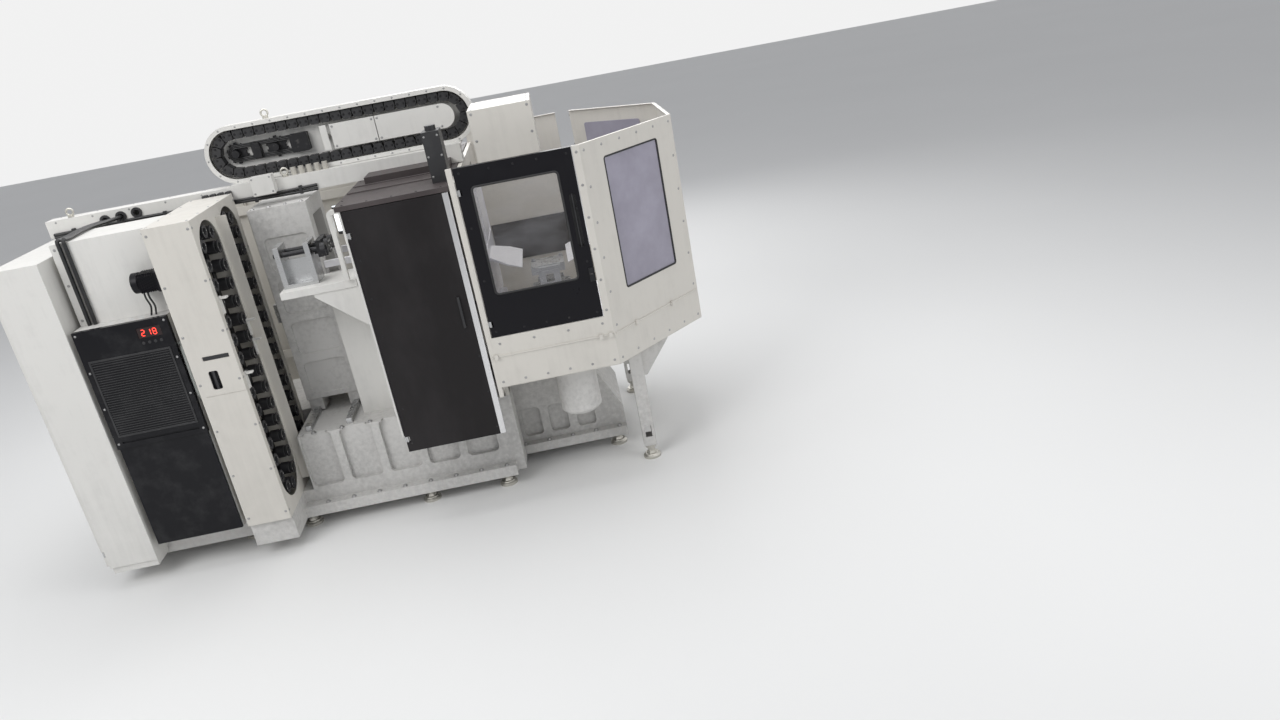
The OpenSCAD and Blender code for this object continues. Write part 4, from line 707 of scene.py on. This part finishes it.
class OBJECT_OT_centre_enclosure(DressPiece, bpy.types.Operator):
    """Adds the enclosure's window seals, panel screws and rolled lower edge"""

    bl_idname = "object.centre_enclosure"
    bl_label = "Loading enclosure"

    def execute(self, context):
        seal_r = context.scene.centre_fittings.gasket_r
        pane_w, pane_h, pane_corner, end_pane_w = 0.452, 0.752, 0.014, 0.492
        pane_z = ENCLOSURE[1].z - 0.482
        loops = []
        for side in (-1, 1):
            centre = on_corner(side, CORNER_L / 2 + 0.006, pane_z, -0.003)
            loops.append(rounded_loop(centre, flip(CORNER_WAY, side), UP, pane_w, pane_h, pane_corner))
        centre = (ENCLOSURE[1].x - seal_r - 0.0005, 0, pane_z)
        loops.append(rounded_loop(centre, FAR_SIDE, UP, end_pane_w, pane_h, pane_corner))
        runs("corner_window_seals", loops, seal_r, "frame", "seal_rubber", closed=True, sides=EDGE_SIDES)
        y, bottom = ENCLOSURE[0].y, ENCLOSURE[0].z
        low, high = bottom + 0.03, ENCLOSURE[1].z - 0.035
        lower_row = spread(0.63, 1.28, 0.13)
        spots = grid(lower_row, y, low, NEAR_SIDE) + grid(spread(0.66, 1.25, 0.2), y, SKIRT_FOLD, NEAR_SIDE)
        spots += grid(1.288, y, spread(1.12, high, 0.18), NEAR_SIDE)
        spots += grid(lower_row, -y, (low, SKIRT_FOLD), FAR_SIDE) + grid(spread(0.66, 1.2, 0.18), -y, high, FAR_SIDE)
        places = [(a, z) for a in within(0, CORNER_L, 0.03) for z in spread(low, high, 0.2)]
        places += [(a, z) for a in spread(*within(0, CORNER_L, 0.17), 0.15) for z in (low, high)]
        for side in (-1, 1):
            spots += [(on_corner(side, a, z), flip(CORNER_OUT, side)) for a, z in places]
        screws("enclosure_screws", spots, "frame")
        sheet = 0.006
        skirt = [[(WALL_START, y + sheet, bottom), (1.306, y + sheet, bottom)]]
        skirt.append([on_corner(-1, a, bottom, -sheet) for a in within(0, CORNER_L, 0.004)])
        skirt += [[flip(p, 1) for p in path] for path in skirt]
        runs("enclosure_lower_edge", skirt, 0.0055, "frame", "ivory_paint", sides=EDGE_SIDES)
        return {"FINISHED"}


class OBJECT_OT_centre_door(DressPiece, bpy.types.Operator):
    """Adds the loading door's pane seal, screws and latch"""

    bl_idname = "object.centre_door"
    bl_label = "Loading door"

    def execute(self, context):
        y = DOOR[0].y
        centre = (PANE[0] + PANE[1]) / 2
        pane_w, pane_h, pane_corner = 0.466, 0.606, 0.022
        ring = rounded_loop((centre.x, y + 0.001, centre.z), END_SIDE, UP, pane_w, pane_h, pane_corner)
        runs("door_window_seal", [ring], 0.0065, "loading_door", "seal_rubber", closed=True, sides=EDGE_SIDES)
        xs, zs = within(DOOR[0].x, DOOR[1].x, 0.03), within(DOOR[0].z, DOOR[1].z, 0.03)
        spots = grid(xs, y, spread(*zs, 0.3), NEAR_SIDE) + grid(spread(*within(*xs, 0.16), 0.14), y, zs, NEAR_SIDE)
        screws("door_screws", spots, "loading_door", 0.0055, finish="black_steel")
        latch_x, latch_z = DOOR[1].x - 0.018, 1.34
        knob = turned((latch_x, y - 0.006, latch_z), NEAR_SIDE, [(0.009, 0), (0.009, 0.004), (0.0065, 0.006)], 16)
        body = plate(latch_x, latch_z, 0.014, 0.04, y - 0.006, y + 0.002)
        built("door_latch", [body, knob], "loading_door", "black_steel", 0.0015)
        return {"FINISHED"}


class OBJECT_OT_centre_roof(DressPiece, bpy.types.Operator):
    """Adds the roof's beads and screws, and the side door's screws and pull"""

    bl_idname = "object.centre_roof"
    bl_label = "Roof and side door"

    def execute(self, context):
        lo, hi = ROOF
        top, seams = 1.965, (-0.52, -0.30, 0.30)
        spots = grid(spread(*within(lo.x, hi.x, 0.04), 0.14), (lo.y + 0.025, hi.y - 0.03), top, UP)
        spots += grid(within(lo.x, hi.x, 0.02), spread(*within(lo.y, hi.y, 0.16), 0.22), top, UP)
        screws("roof_screws", spots, "frame", finish="black_steel")
        bead = [[(x, y, top + 0.002) for x in within(lo.x, hi.x, 0.01)] for y in seams]
        runs("roof_beads", bead, 0.005, "frame", "dark_roof", sides=EDGE_SIDES)
        lo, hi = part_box("side_door")
        spots = grid((lo.x + 0.032, hi.x - 0.012), lo.y, spread(*within(lo.z, hi.z, 0.05), 0.22), NEAR_SIDE)
        screws("side_door_screws", spots, "side_door", 0.005, finish="black_steel")
        x, y, z = hi.x - 0.05, lo.y, 1.27
        half_w, half_h, foot = 0.007, 0.09, 0.006
        pull = [plate(x, z + end * (half_h - foot), half_w, foot, y - 0.010, y + 0.001) for end in (-1, 1)]
        pull.append(plate(x, z, half_w, half_h, y - 0.0145, y - 0.0095))
        built("side_door_pull", pull, "side_door", "black_plastic", 0.0016)
        return {"FINISHED"}


STROKES = {
    "a": (0, 1, True), "g": (0, 0, True), "d": (0, -1, True), "f": (-1, 0.5, False), "b": (1, 0.5, False),
    "e": (-1, -0.5, False), "c": (1, -0.5, False),
}
DIGITS = ("abged", "bc", "abcdefg")


class OBJECT_OT_centre_chiller(DressPiece, bpy.types.Operator):
    """Adds the chiller's display, keys, filter slats and screws, and the magazine motor's fins and leads"""

    bl_idname = "object.centre_chiller"
    bl_label = "Chiller"

    def execute(self, context):
        lo, hi = CHILLER
        x, z, y = hi.x - 0.11, 1.50, lo.y
        built("display_pane", [plate(x, z, 0.064, 0.029, y + 0.0015, y + 0.0042)], "frame", "dark_pane", 0.0006)
        parts, long, short = [], 0.0065, 0.0016
        half_w, half_h, step = 0.0085, 0.0165, 0.031
        for i, digit in enumerate(DIGITS):
            for sx, sz, flat in (STROKES[s] for s in digit):
                half = (long, short) if flat else (short, long)
                at = x - 0.034 + i * step + sx * half_w, z + sz * half_h
                parts.append(plate(*at, *half, y + 0.0008, y + 0.0017))
        built("display_digits", parts, "frame", "red_digits")
        button = [(0.0085, 0), (0.0085, 0.002), (0.007, 0.0032), (0, 0.0034)]
        keys = [turned((x - 0.048 + i * 0.032, y + 0.0005, z - 0.055), NEAR_SIDE, button, 20) for i in range(4)]
        built("display_keys", keys, "frame", "black_plastic")
        middle, half_w = (lo.x + hi.x) / 2, (hi.x - lo.x) / 2 - 0.03
        rows = [(middle, y - 0.001, row) for row in spread(0.96, 1.38, 0.014)]
        slat = (0.42, 0.006, 0.0045)
        slats("chiller_filter", rows, slat, "frame", "black_plastic")
        rails = [plate(middle, row, half_w, 0.006, y - 0.005, y + 0.002) for row in (0.946, 1.394)]
        rails += [plate(middle + s * (half_w - 0.006), 1.17, 0.0058, 0.219, y - 0.0046, y + 0.0016) for s in (-1, 1)]
        built("chiller_filter_frame", rails, "frame", "black_plastic", 0.0015)
        spots = grid(within(lo.x, hi.x, 0.016), y, spread(0.90, 1.55, 0.21), NEAR_SIDE)
        screws("chiller_screws", spots, "frame", 0.005)
        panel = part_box("service_panel")
        spots = grid(within(panel[0].x, panel[1].x, 0.02), panel[0].y, spread(1.60, 2.0, 0.2), NEAR_SIDE)
        screws("service_panel_screws", spots, "frame")
        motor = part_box("magazine_motor")
        x, y, z = motor[0].x, (motor[0].y + motor[1].y) / 2, (motor[0].z + motor[1].z) / 2
        fins = [(fin, y, z) for fin in spread(x + 0.042, x + 0.126, 0.012)]
        fin_size = (0.004, 0.104, 0.104)
        slats("motor_fins", fins, fin_size, "frame", "black_paint")
        leads = []
        for i in range(2):
            drop = ((0.03 + i * 0.02, 0, -0.05), (0.03 + i * 0.02, 0, -0.09), (0.035 + i * 0.022, 0.01, -0.14))
            drop += ((0.02 + i * 0.026, 0.014, -0.19),)
            leads.append(curve_through([Vector((x, y, z)) + Vector(d) for d in drop]))
        runs("motor_leads", leads, 0.005, "frame", "hose_rubber", sides=10)
        return {"FINISHED"}


class OBJECT_OT_centre_magazine(DressPiece, bpy.types.Operator):
    """Adds the magazine's screws, pull, slot strip and brackets, and the screws of the pots' faces"""

    bl_idname = "object.centre_magazine"
    bl_label = "Tool magazine"

    def execute(self, context):
        lo, hi = MAGAZINE
        y = lo.y
        rows = spread(lo.z + 0.05, hi.z - 0.04, 0.29)
        spots = grid(within(lo.x, MAGAZINE_SIDE, 0.018), y, rows, NEAR_SIDE)
        spots += grid(within(lo.x, MAGAZINE_SIDE, 0.02), spread(*within(y, hi.y, 0.03), 0.18), hi.z, UP)
        spots += grid(lo.x, within(y, hi.y, 0.02), rows, -END_SIDE)
        spots += grid(MAGAZINE_SIDE, within(y, hi.y, 0.014), rows, END_SIDE)
        screws("magazine_screws", spots, "frame")
        x, z = lo.x + 0.108, 1.16
        pull = [plate(x, z, 0.0296, 0.0586, y + 0.027, y + 0.030), plate(x, z, 0.007, 0.056, y + 0.003, y + 0.011)]
        for s in (-1, 1):
            pull.append(plate(x + s * 0.0279, z, 0.0019, 0.0555, y + 0.0057, y + 0.0278))
            pull.append(plate(x, z + s * 0.057, 0.03, 0.002, y + 0.0055, y + 0.028))
        built("magazine_pull", pull, "frame", "black_plastic", 0.001)
        slot = plate(lo.x + 0.15, 1.29, 0.071, 0.011, y + 0.0012, y + 0.0036)
        built("magazine_slot_strip", [slot], "frame", "black_plastic", 0.001)
        brackets, half = [], 0.016  # an upright with a short tongue at each place
        places = ((-0.834, 1.555), (-0.834, 1.11), (-0.536, 1.33), (-0.536, 1.21), (-0.459, 1.44), (-0.459, 1.03))
        for by, bz in places:
            for x0, x1, z0, z1 in ((-0.004, 0.006, -0.05, 0.05), (0.005, 0.045, 0.036, 0.046)):
                low = (MAGAZINE_SIDE + x0, by - half, bz + z0)
                brackets.append(bar(low, (MAGAZINE_SIDE + x1, by + half, bz + z1)))
        built("magazine_brackets", brackets, "frame", "white_paint", 0.0015)
        face_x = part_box("tool_pots")[1].x - 0.0002
        chain_r, teeth, pots = 0.120, 7, 32
        run = (pots - teeth) * math.pi * chain_r / teeth
        chain_z = hi.z - 0.214 - run / 2
        keys = []
        for chain_y in (y + 0.205, y + 0.58):
            for down, across, _ in stadium_points(run, chain_r, pots):
                keys += grid(face_x, [chain_y + across + s * 0.0295 for s in (-1, 1)], chain_z - down, END_SIDE)
        screws("pot_face_screws", keys, "frame", 0.0034, 0.002, 8)
        return {"FINISHED"}


class OBJECT_OT_centre_loop(DressPiece, bpy.types.Operator):
    """Adds the upper loop's border screws, link rivets, carried cables and cover screws"""

    bl_idname = "object.centre_loop"
    bl_label = "Upper chain loop"

    def execute(self, context):
        lo, hi = LOOP
        loop_w, loop_h, chain_r, links, border_screws = 1.628, 0.344, 0.114, 50, 34
        run = loop_w - loop_h
        x, z, y = (lo.x + hi.x) / 2, hi.z - loop_h / 2, 0.105
        border = stadium_points(run, loop_h / 2 - 0.013, border_screws, 0.5)
        screws("loop_border_screws", [((x + a, y - 0.09, z + b), NEAR_SIDE) for a, b, _ in border], "frame", 0.005)
        rivets = []
        for a, b, turn in stadium_points(run, chain_r, links, 0.75):
            way, middle = Vector((math.cos(turn), 0, math.sin(turn))), Vector((x + a, y - 0.0703, z + b))
            rivets += [(middle + way * reach, NEAR_SIDE) for reach in (-0.018, 0.018)]
        screws("link_rivets", rivets, "frame", 0.0062, 0.004, 10, "black_steel")
        rows = within(z - (loop_h - 0.196) / 2, z + (loop_h - 0.196) / 2, 0.015)
        covers = [x + run / 2 + cover for cover in (-0.405, -0.035, -0.68, -0.44)]
        screws("loop_cover_screws", grid(covers, y - 0.082, rows, NEAR_SIDE), "frame", 0.006)
        inner, turn_x, reach, steps = [], x - run / 2, 0.33, 14
        angles = [math.pi * k / steps for k in range(steps + 1)]
        for r in (0.048, 0.039, 0.030):
            bend = [(turn_x - r * math.sin(t), z + r * math.cos(t)) for t in angles]
            way = [(turn_x + reach, z + r), *bend, (turn_x + reach, z - r)]
            inner.append([(px, y - 0.03, pz) for px, pz in way])
        runs("loop_cables", inner, 0.0048, "frame", "hose_rubber", sides=EDGE_SIDES)
        return {"FINISHED"}


class OBJECT_OT_centre_duct(DressPiece, bpy.types.Operator):
    """Adds the duct's clipped cables and screws, and the junction box's lid"""

    bl_idname = "object.centre_duct"
    bl_label = "Cable duct"

    def execute(self, context):
        lo, hi = DUCT
        r = context.scene.centre_fittings.cable_r
        y, z = lo.y - r, lo.z + 0.008
        x0, x1 = lo.x + 0.03, -0.27
        lines = []
        for i in range(2):
            wave = [(x, 0.0006 * math.sin(x * 9 + i), 0.004 * math.sin(x * 5 + 2 * i)) for x in spread(x0, x1, 0.05)]
            lines.append([(x, y - sway, z + rise + i * 1.9 * r) for x, sway, rise in wave])
        runs("duct_cables", lines, r, "frame", "hose_rubber")
        clips = [(x, y - 0.001, z + r) for x in spread(x0 + 0.12, x1 - 0.1, 0.26)]
        slats("cable_clips", clips, (0.018, 2 * r + 0.002, 4 * r + 0.014), "frame", "black_plastic")
        lid_end, start = -0.95, lo.x + 0.06
        spots = grid(spread(start, lid_end, 0.22), lo.y, hi.z - 0.014, NEAR_SIDE)
        spots += grid(spread(start, hi.x - 0.06, 0.24), hi.y, hi.z - 0.03, FAR_SIDE)
        spots += grid(spread(start, lid_end, 0.24), lo.y + 0.09, hi.z, UP)
        screws("duct_screws", spots, "frame", 0.005)
        box_x, box_y, box_z = (-0.634, -0.504), lo.y - 0.06, (hi.z - 0.07, hi.z + 0.04)
        (lid_x0, lid_x1), (lid_z0, lid_z1) = within(*box_x, -0.004), within(*box_z, -0.004)
        lid = bar((lid_x0, box_y - 0.006, lid_z0), (lid_x1, box_y + 0.001, lid_z1))
        built("junction_box_lid", [lid], "frame", "white_paint", 0.003)
        spots = grid(within(*box_x, 0.012), box_y - 0.006, within(*box_z, 0.012), NEAR_SIDE)
        screws("junction_box_screws", spots, "frame", 0.005)
        return {"FINISHED"}


class OBJECT_OT_centre_castings(DressPiece, bpy.types.Operator):
    """Adds the bolts of the castings, the levelling nuts, the tray's fittings, a dark sheet of painted shade on the
    far wall and the far side's latches
    """

    bl_idname = "object.centre_castings"
    bl_label = "Castings and guards"

    def execute(self, context):
        r = context.scene.centre_fittings.bolt_r
        flanges = (
            (spread(-0.62, 0.5, 0.16), 0.605, 0.16), (spread(WALL_START, 1.24, 0.155), 0.335, 0.15),
            (spread(-0.6, -0.08, 0.17), 0.535, 0.6),
        )
        bolts = [spot for xs, half_w, top in flanges for spot in grid(xs, (-half_w, half_w), top, UP)]
        screws("casting_bolts", bolts, "frame", r, r * 0.9, 6)
        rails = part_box("cross_rails")
        caps = grid(within(rails[0].x, rails[1].x, 0.018), spread(-0.47, 0.47, 0.06), rails[1].z, UP)
        screws("rail_bolts", caps, "frame", 0.0055, 0.002, 10)
        nut_z = 0.026
        feet = (((-1.76, -1.137, MAGAZINE_SIDE, BAY_END, 0.479), 0.53), (1.218, 0.26), (1.408, 0.56))
        nuts = [spot for xs, half_w in feet for spot in grid(xs, (-half_w, half_w), nut_z, UP)]
        screws("levelling_nuts", nuts, "frame", 0.034, 0.02, 6, "zinc_steel")
        self.dress_tray()
        # A dark sheet on the far wall's inner face, painted shade for the dim lower part of the loading station
        wall_y, shade_end, shade_low, shade_high = ENCLOSURE[1].y - 0.0055, 1.226, 1.07, 1.35
        shade_sheet = bar((WALL_START, wall_y - 0.007, shade_low), (shade_end, wall_y, shade_high))
        built("far_wall_painted_shade", [shade_sheet], "frame", "dim_band", 0.002)
        lo, hi = FAR
        joint = 0.003
        seams = (lo.x, CABINET_GAP + joint, MAGAZINE_SIDE + joint, BAY_END - joint, hi.x)
        spots = []
        for a, b in zip(seams, seams[1:]):
            spots += grid(within(a, b, 0.025), hi.y, spread(*within(lo.z, hi.z, 0.05), 0.23), FAR_SIDE)
        screws("far_cover_screws", spots, "frame")
        disc = [(0.02, 0), (0.02, 0.003), (0.016, 0.0055), (0.006, 0.0055), (0.006, 0.0035), (0, 0.0035)]
        places = grid((-1.08, -0.82, -0.08, 0.09, 0.52), hi.y - 0.0005, (0.72, 1.76), FAR_SIDE)
        latches = [turned(place, out, disc) for place, out in places]
        built("far_cover_latches", latches, "frame", "black_steel", 0.0, True)
        return {"FINISHED"}

    def dress_tray(self):
        """The rolled edges of the tray's wing, the pan's screws and the strainer of its drain."""
        lo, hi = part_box("loading_tray")
        wing_x, wing_top, pan_z, half_w, sunk = hi.x - 0.026, hi.z - 0.002, 0.974, 0.109, 0.001
        edge = [[(wing_x - 0.108, s * 0.234, wing_top - 0.041), (wing_x, s * half_w, wing_top)] for s in (-1, 1)]
        edge.append([(wing_x, -half_w, wing_top), (wing_x, half_w, wing_top)])
        runs("tray_rolled_edges", edge, 0.004, "frame", "bright_sheet", sides=EDGE_SIDES)
        lip = grid(spread(lo.x + 0.03, hi.x - 0.06, 0.11), -0.392, pan_z, UP)
        lip += grid(spread(lo.x + 0.17, hi.x - 0.2, 0.11), 0.39, pan_z, UP)
        screws("tray_screws", lip, "frame", 0.0055, 0.003)
        x, y = hi.x - 0.118, -0.27
        rim = [(0.062, -sunk), (0.062, 0.003), (0.057, 0.005), (0.053, 0.003), (0.053, -sunk), (0.062, -sunk)]
        parts = [turned((x, y, pan_z), UP, rim, 32)]
        for r in (0.012, 0.026, 0.04):
            ring = [(r + 0.004, -sunk), (r + 0.004, 0.003), (r, 0.003), (r, -sunk), (r + 0.004, -sunk)]
            parts.append(turned((x, y, pan_z), UP, ring, 32))
        for half_x, half_y in ((0.054, 0.003), (0.003, 0.054)):
            parts.append(bar((x - half_x, y - half_y, pan_z - sunk), (x + half_x, y + half_y, pan_z + 0.002)))
        built("tray_strainer", parts, "frame", "zinc_steel", 0.0, True)


class OBJECT_OT_centre_spindle(DressPiece, bpy.types.Operator):
    """Adds the bolts of the spindle, ram, head, column and fixture, and the lamp's caps"""

    bl_idname = "object.centre_spindle"
    bl_label = "Spindle and column"

    def execute(self, context):
        nose, column, head = (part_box(n) for n in ("spindle", "column", "head_carrier"))
        axis_z = (nose[0].z + nose[1].z) / 2
        ram_face, reach = nose[1].x - 0.094, 0.072
        spots = grid(ram_face, (-reach, reach), (axis_z - reach, axis_z + reach), END_SIDE)
        screws("ram_face_bolts", spots, "ram_feed", 0.007, 0.005, 12)
        spots = grid(spread(*within(column[0].x, column[1].x, 0.03), 0.1), (-0.175, 0.175), column[1].z, UP)
        screws("column_bolts", spots, "column_cross", 0.011, 0.008, 6)
        spots = grid(head[0].x, (-0.0955, 0.0955), spread(*within(head[0].z, head[1].z, 0.03), 0.135), -END_SIDE)
        screws("head_bolts", spots, "head_lift", 0.007, 0.006, 12)
        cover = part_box("head_cover")
        spots = grid(cover[1].x, (-0.112, 0.112), spread(*within(cover[0].z, cover[1].z, 0.03), 0.15), END_SIDE)
        screws("head_cover_screws", spots, "head_lift", 0.005)
        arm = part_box("change_arm")
        hub_r, hub = 0.026, (arm[0] + arm[1]) / 2
        turns = [math.radians(60 * k) for k in range(6)]
        spots = [((arm[1].x, hub.y + hub_r * math.cos(t), hub.z + hub_r * math.sin(t)), END_SIDE) for t in turns]
        screws("arm_hub_bolts", spots, "arm_swing", 0.0045, 0.003, 10)
        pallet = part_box("pallets")
        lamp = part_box("work_lamp")
        lamp_x, lamp_y = lamp[0].x + 0.017, (lamp[0].y + lamp[1].y) / 2
        cap = [(0.0185, -0.006), (0.0185, 0.010), (0.015, 0.013)]
        caps = [turned((lamp_x, lamp_y, z), UP, cap) for z in (lamp[0].z + 0.006, lamp[1].z - 0.013)]
        built("lamp_caps", caps, "frame", "black_plastic", 0.0, True)
        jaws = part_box("work_fixture")
        x = (jaws[0].x + jaws[1].x) / 2
        spots = grid((x - 0.077, x + 0.077), (-0.1, 0.1), pallet[1].z + 0.032, UP)
        screws("fixture_bolts", spots, "changer_turn", 0.0085, 0.006, 6)
        spots = grid((x - 0.035, x, x + 0.035), (-0.06, 0.0, 0.06), jaws[1].z - 0.006, UP)
        screws("fixture_top_screws", spots, "changer_turn", 0.006, 0.003, 10)
        return {"FINISHED"}


class OBJECT_OT_centre_back(DressPiece, bpy.types.Operator):
    """Adds the cabinet door's swing handle, the top housing's screws and louvre, and the riser's screws"""

    bl_idname = "object.centre_back"
    bl_label = "Cabinet and top housing"

    def execute(self, context):
        lo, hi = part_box("cabinet_door")
        x, y, z = lo.x, hi.y - 0.06, lo.z + (hi.z - lo.z) * 0.55
        handle = [
            bar((x + 0.0035, y - 0.024, z - 0.082), (x + 0.0065, y + 0.024, z + 0.082)),
            bar((x + 0.0005, y - 0.009, z - 0.06), (x + 0.004, y + 0.009, z + 0.06)),
        ]
        built("cabinet_handle", handle, "cabinet_door", "black_plastic", 0.0012)
        lo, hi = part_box("top_housing")
        box_start, box_end, inset = 0.749, 1.097, 0.02
        xs, rows = within(box_start, box_end, inset), spread(1.99, hi.z - inset, 0.14)
        spots = grid(xs, lo.y, rows, NEAR_SIDE) + grid(xs, hi.y, rows, FAR_SIDE)
        spots += grid(xs, spread(*within(lo.y, hi.y, inset), 0.14), hi.z, UP)
        screws("top_housing_screws", spots, "frame")
        rows = [(box_end - 0.002, (lo.y + hi.y) / 2, row) for row in spread(2.03, hi.z - 0.07, 0.022)]
        slats("top_housing_louvre", rows, (0.003, hi.y - lo.y - 0.114, 0.013), "frame", "ivory_paint")
        lo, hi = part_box("cable_riser")
        spots = grid(within(lo.x, hi.x, 0.012), lo.y, spread(2.0, hi.z - 0.05, 0.1), NEAR_SIDE)
        screws("riser_screws", spots, "frame", 0.0045)
        return {"FINISHED"}


class OBJECT_OT_centre_stage(DressPiece, bpy.types.Operator):
    """Sets the floor, the studio light and the camera"""

    bl_idname = "object.centre_stage"
    bl_label = "Stage"

    def execute(self, context):
        scene = context.scene
        choice = scene.centre_stage
        mesh = bpy.data.meshes.new("studio_floor")
        half = 30.0
        corners = [(-half, -half, 0), (half, -half, 0), (half, half, 0), (-half, half, 0)]
        mesh.from_pydata(corners, [], [(0, 1, 2, 3)])
        floor = bpy.data.objects.new("studio_floor", mesh)
        scene.collection.objects.link(floor)
        f = Finish("Studio floor")
        tone = f.blend(f.noise(0.4, 2.0), (0.80, 0.80, 0.79), (0.84, 0.84, 0.83))
        mesh.materials.append(f.surface(base_color=tone, roughness=0.7))
        world = bpy.data.worlds.new("Studio")
        scene.world = world
        world.use_nodes = True
        g = Graph(world.node_tree)
        world.node_tree.nodes.clear()
        rays = ("Is Camera Ray", "Is Glossy Ray", "Is Transmission Ray")
        seen, gloss, through = (g.node("ShaderNodeLightPath", out=ray) for ray in rays)
        sky = {"Color": (0.93, 0.95, 1.0, 1.0), "Strength": 0.4 * choice.light}
        plain = g.node("ShaderNodeBackground", values=sky)
        pale = g.node("ShaderNodeBackground", values={"Color": (0.93, 0.93, 0.93, 1.0), "Strength": 0.95})
        share = g.node("ShaderNodeMath", {"operation": "MAXIMUM"}, [gloss, through])
        share = g.node("ShaderNodeMath", {"operation": "MAXIMUM"}, [seen, share])
        mixed = g.node("ShaderNodeMixShader", values=[share, plain, pale])
        g.node("ShaderNodeOutputWorld", values=[mixed])
        for name, at, aim, size, power in (
            ("key_light", (-3.5, -5.5, 6.0), (0, 0, 1.0), 4.0, 250.0),
            ("fill_light", (6.0, -4.0, 4.0), (0.5, 0, 1.0), 4.0, 110.0),
            ("top_light", (0.0, 0.5, 6.5), (0, 0, 1.0), 5.0, 190.0),
            ("back_light", (1.0, 6.0, 4.5), (0, 0, 1.2), 4.0, 110.0),
        ):
            lamp = bpy.data.lights.new(name, "AREA")
            lamp.size = size
            lamp.energy = power * choice.light
            holder = bpy.data.objects.new(name, lamp)
            holder.location = at
            holder.rotation_euler = (Vector(aim) - Vector(at)).to_track_quat("-Z", "Y").to_euler()
            scene.collection.objects.link(holder)
        turn, tilt, roll = choice.turn
        ahead = Vector((math.sin(turn), math.cos(turn), 0))
        forward = ahead * math.cos(tilt) - UP * math.sin(tilt)
        right = Vector((math.cos(turn), -math.sin(turn), 0))
        up = right.cross(forward)
        right, up = right * math.cos(roll) + up * math.sin(roll), up * math.cos(roll) - right * math.sin(roll)
        data = bpy.data.cameras.new("view")
        data.lens = choice.lens
        data.sensor_width = 36.0
        camera = bpy.data.objects.new("view", data)
        axes = Matrix((right, up, -forward)).transposed().to_4x4()
        camera.matrix_world = Matrix.Translation(choice.camera_at) @ axes
        scene.collection.objects.link(camera)
        scene.camera = camera
        scene.view_settings.view_transform = "Standard"
        return {"FINISHED"}


class VIEW3D_PT_centre(bpy.types.Panel):
    """Sizes, colours and pieces of the machining centre"""

    bl_idname = "VIEW3D_PT_centre"
    bl_label = "Machining centre"
    bl_space_type = "VIEW_3D"
    bl_region_type = "UI"
    bl_category = "Machining centre"

    def draw(self, context):
        for settings, kind in SETTINGS.items():
            box = self.layout.box()
            for name in kind.__annotations__:
                box.prop(getattr(context.scene, settings), name)
        for piece in PIECES:
            self.layout.operator(piece.bl_idname)


PIECES = (
    OBJECT_OT_centre_finishes,
    OBJECT_OT_centre_stage,
    OBJECT_OT_centre_enclosure,
    OBJECT_OT_centre_door,
    OBJECT_OT_centre_roof,
    OBJECT_OT_centre_chiller,
    OBJECT_OT_centre_magazine,
    OBJECT_OT_centre_loop,
    OBJECT_OT_centre_duct,
    OBJECT_OT_centre_castings,
    OBJECT_OT_centre_spindle,
    OBJECT_OT_centre_back,
)
SETTINGS = {
    "centre_finish": FinishSettings, "centre_fittings": FittingSettings, "centre_stage": StageSettings,
}
CLASSES = (*SETTINGS.values(), *PIECES, VIEW3D_PT_centre)


def register():
    for cls in CLASSES:
        bpy.utils.register_class(cls)
    for name, kind in SETTINGS.items():
        setattr(bpy.types.Scene, name, PointerProperty(type=kind))


def unregister():
    for name in SETTINGS:
        delattr(bpy.types.Scene, name)
    for cls in reversed(CLASSES):
        bpy.utils.unregister_class(cls)


def main():
    register()
    for piece in PIECES:
        group, name = piece.bl_idname.split(".")
        getattr(getattr(bpy.ops, group), name)()


if __name__ == "__main__":
    main()
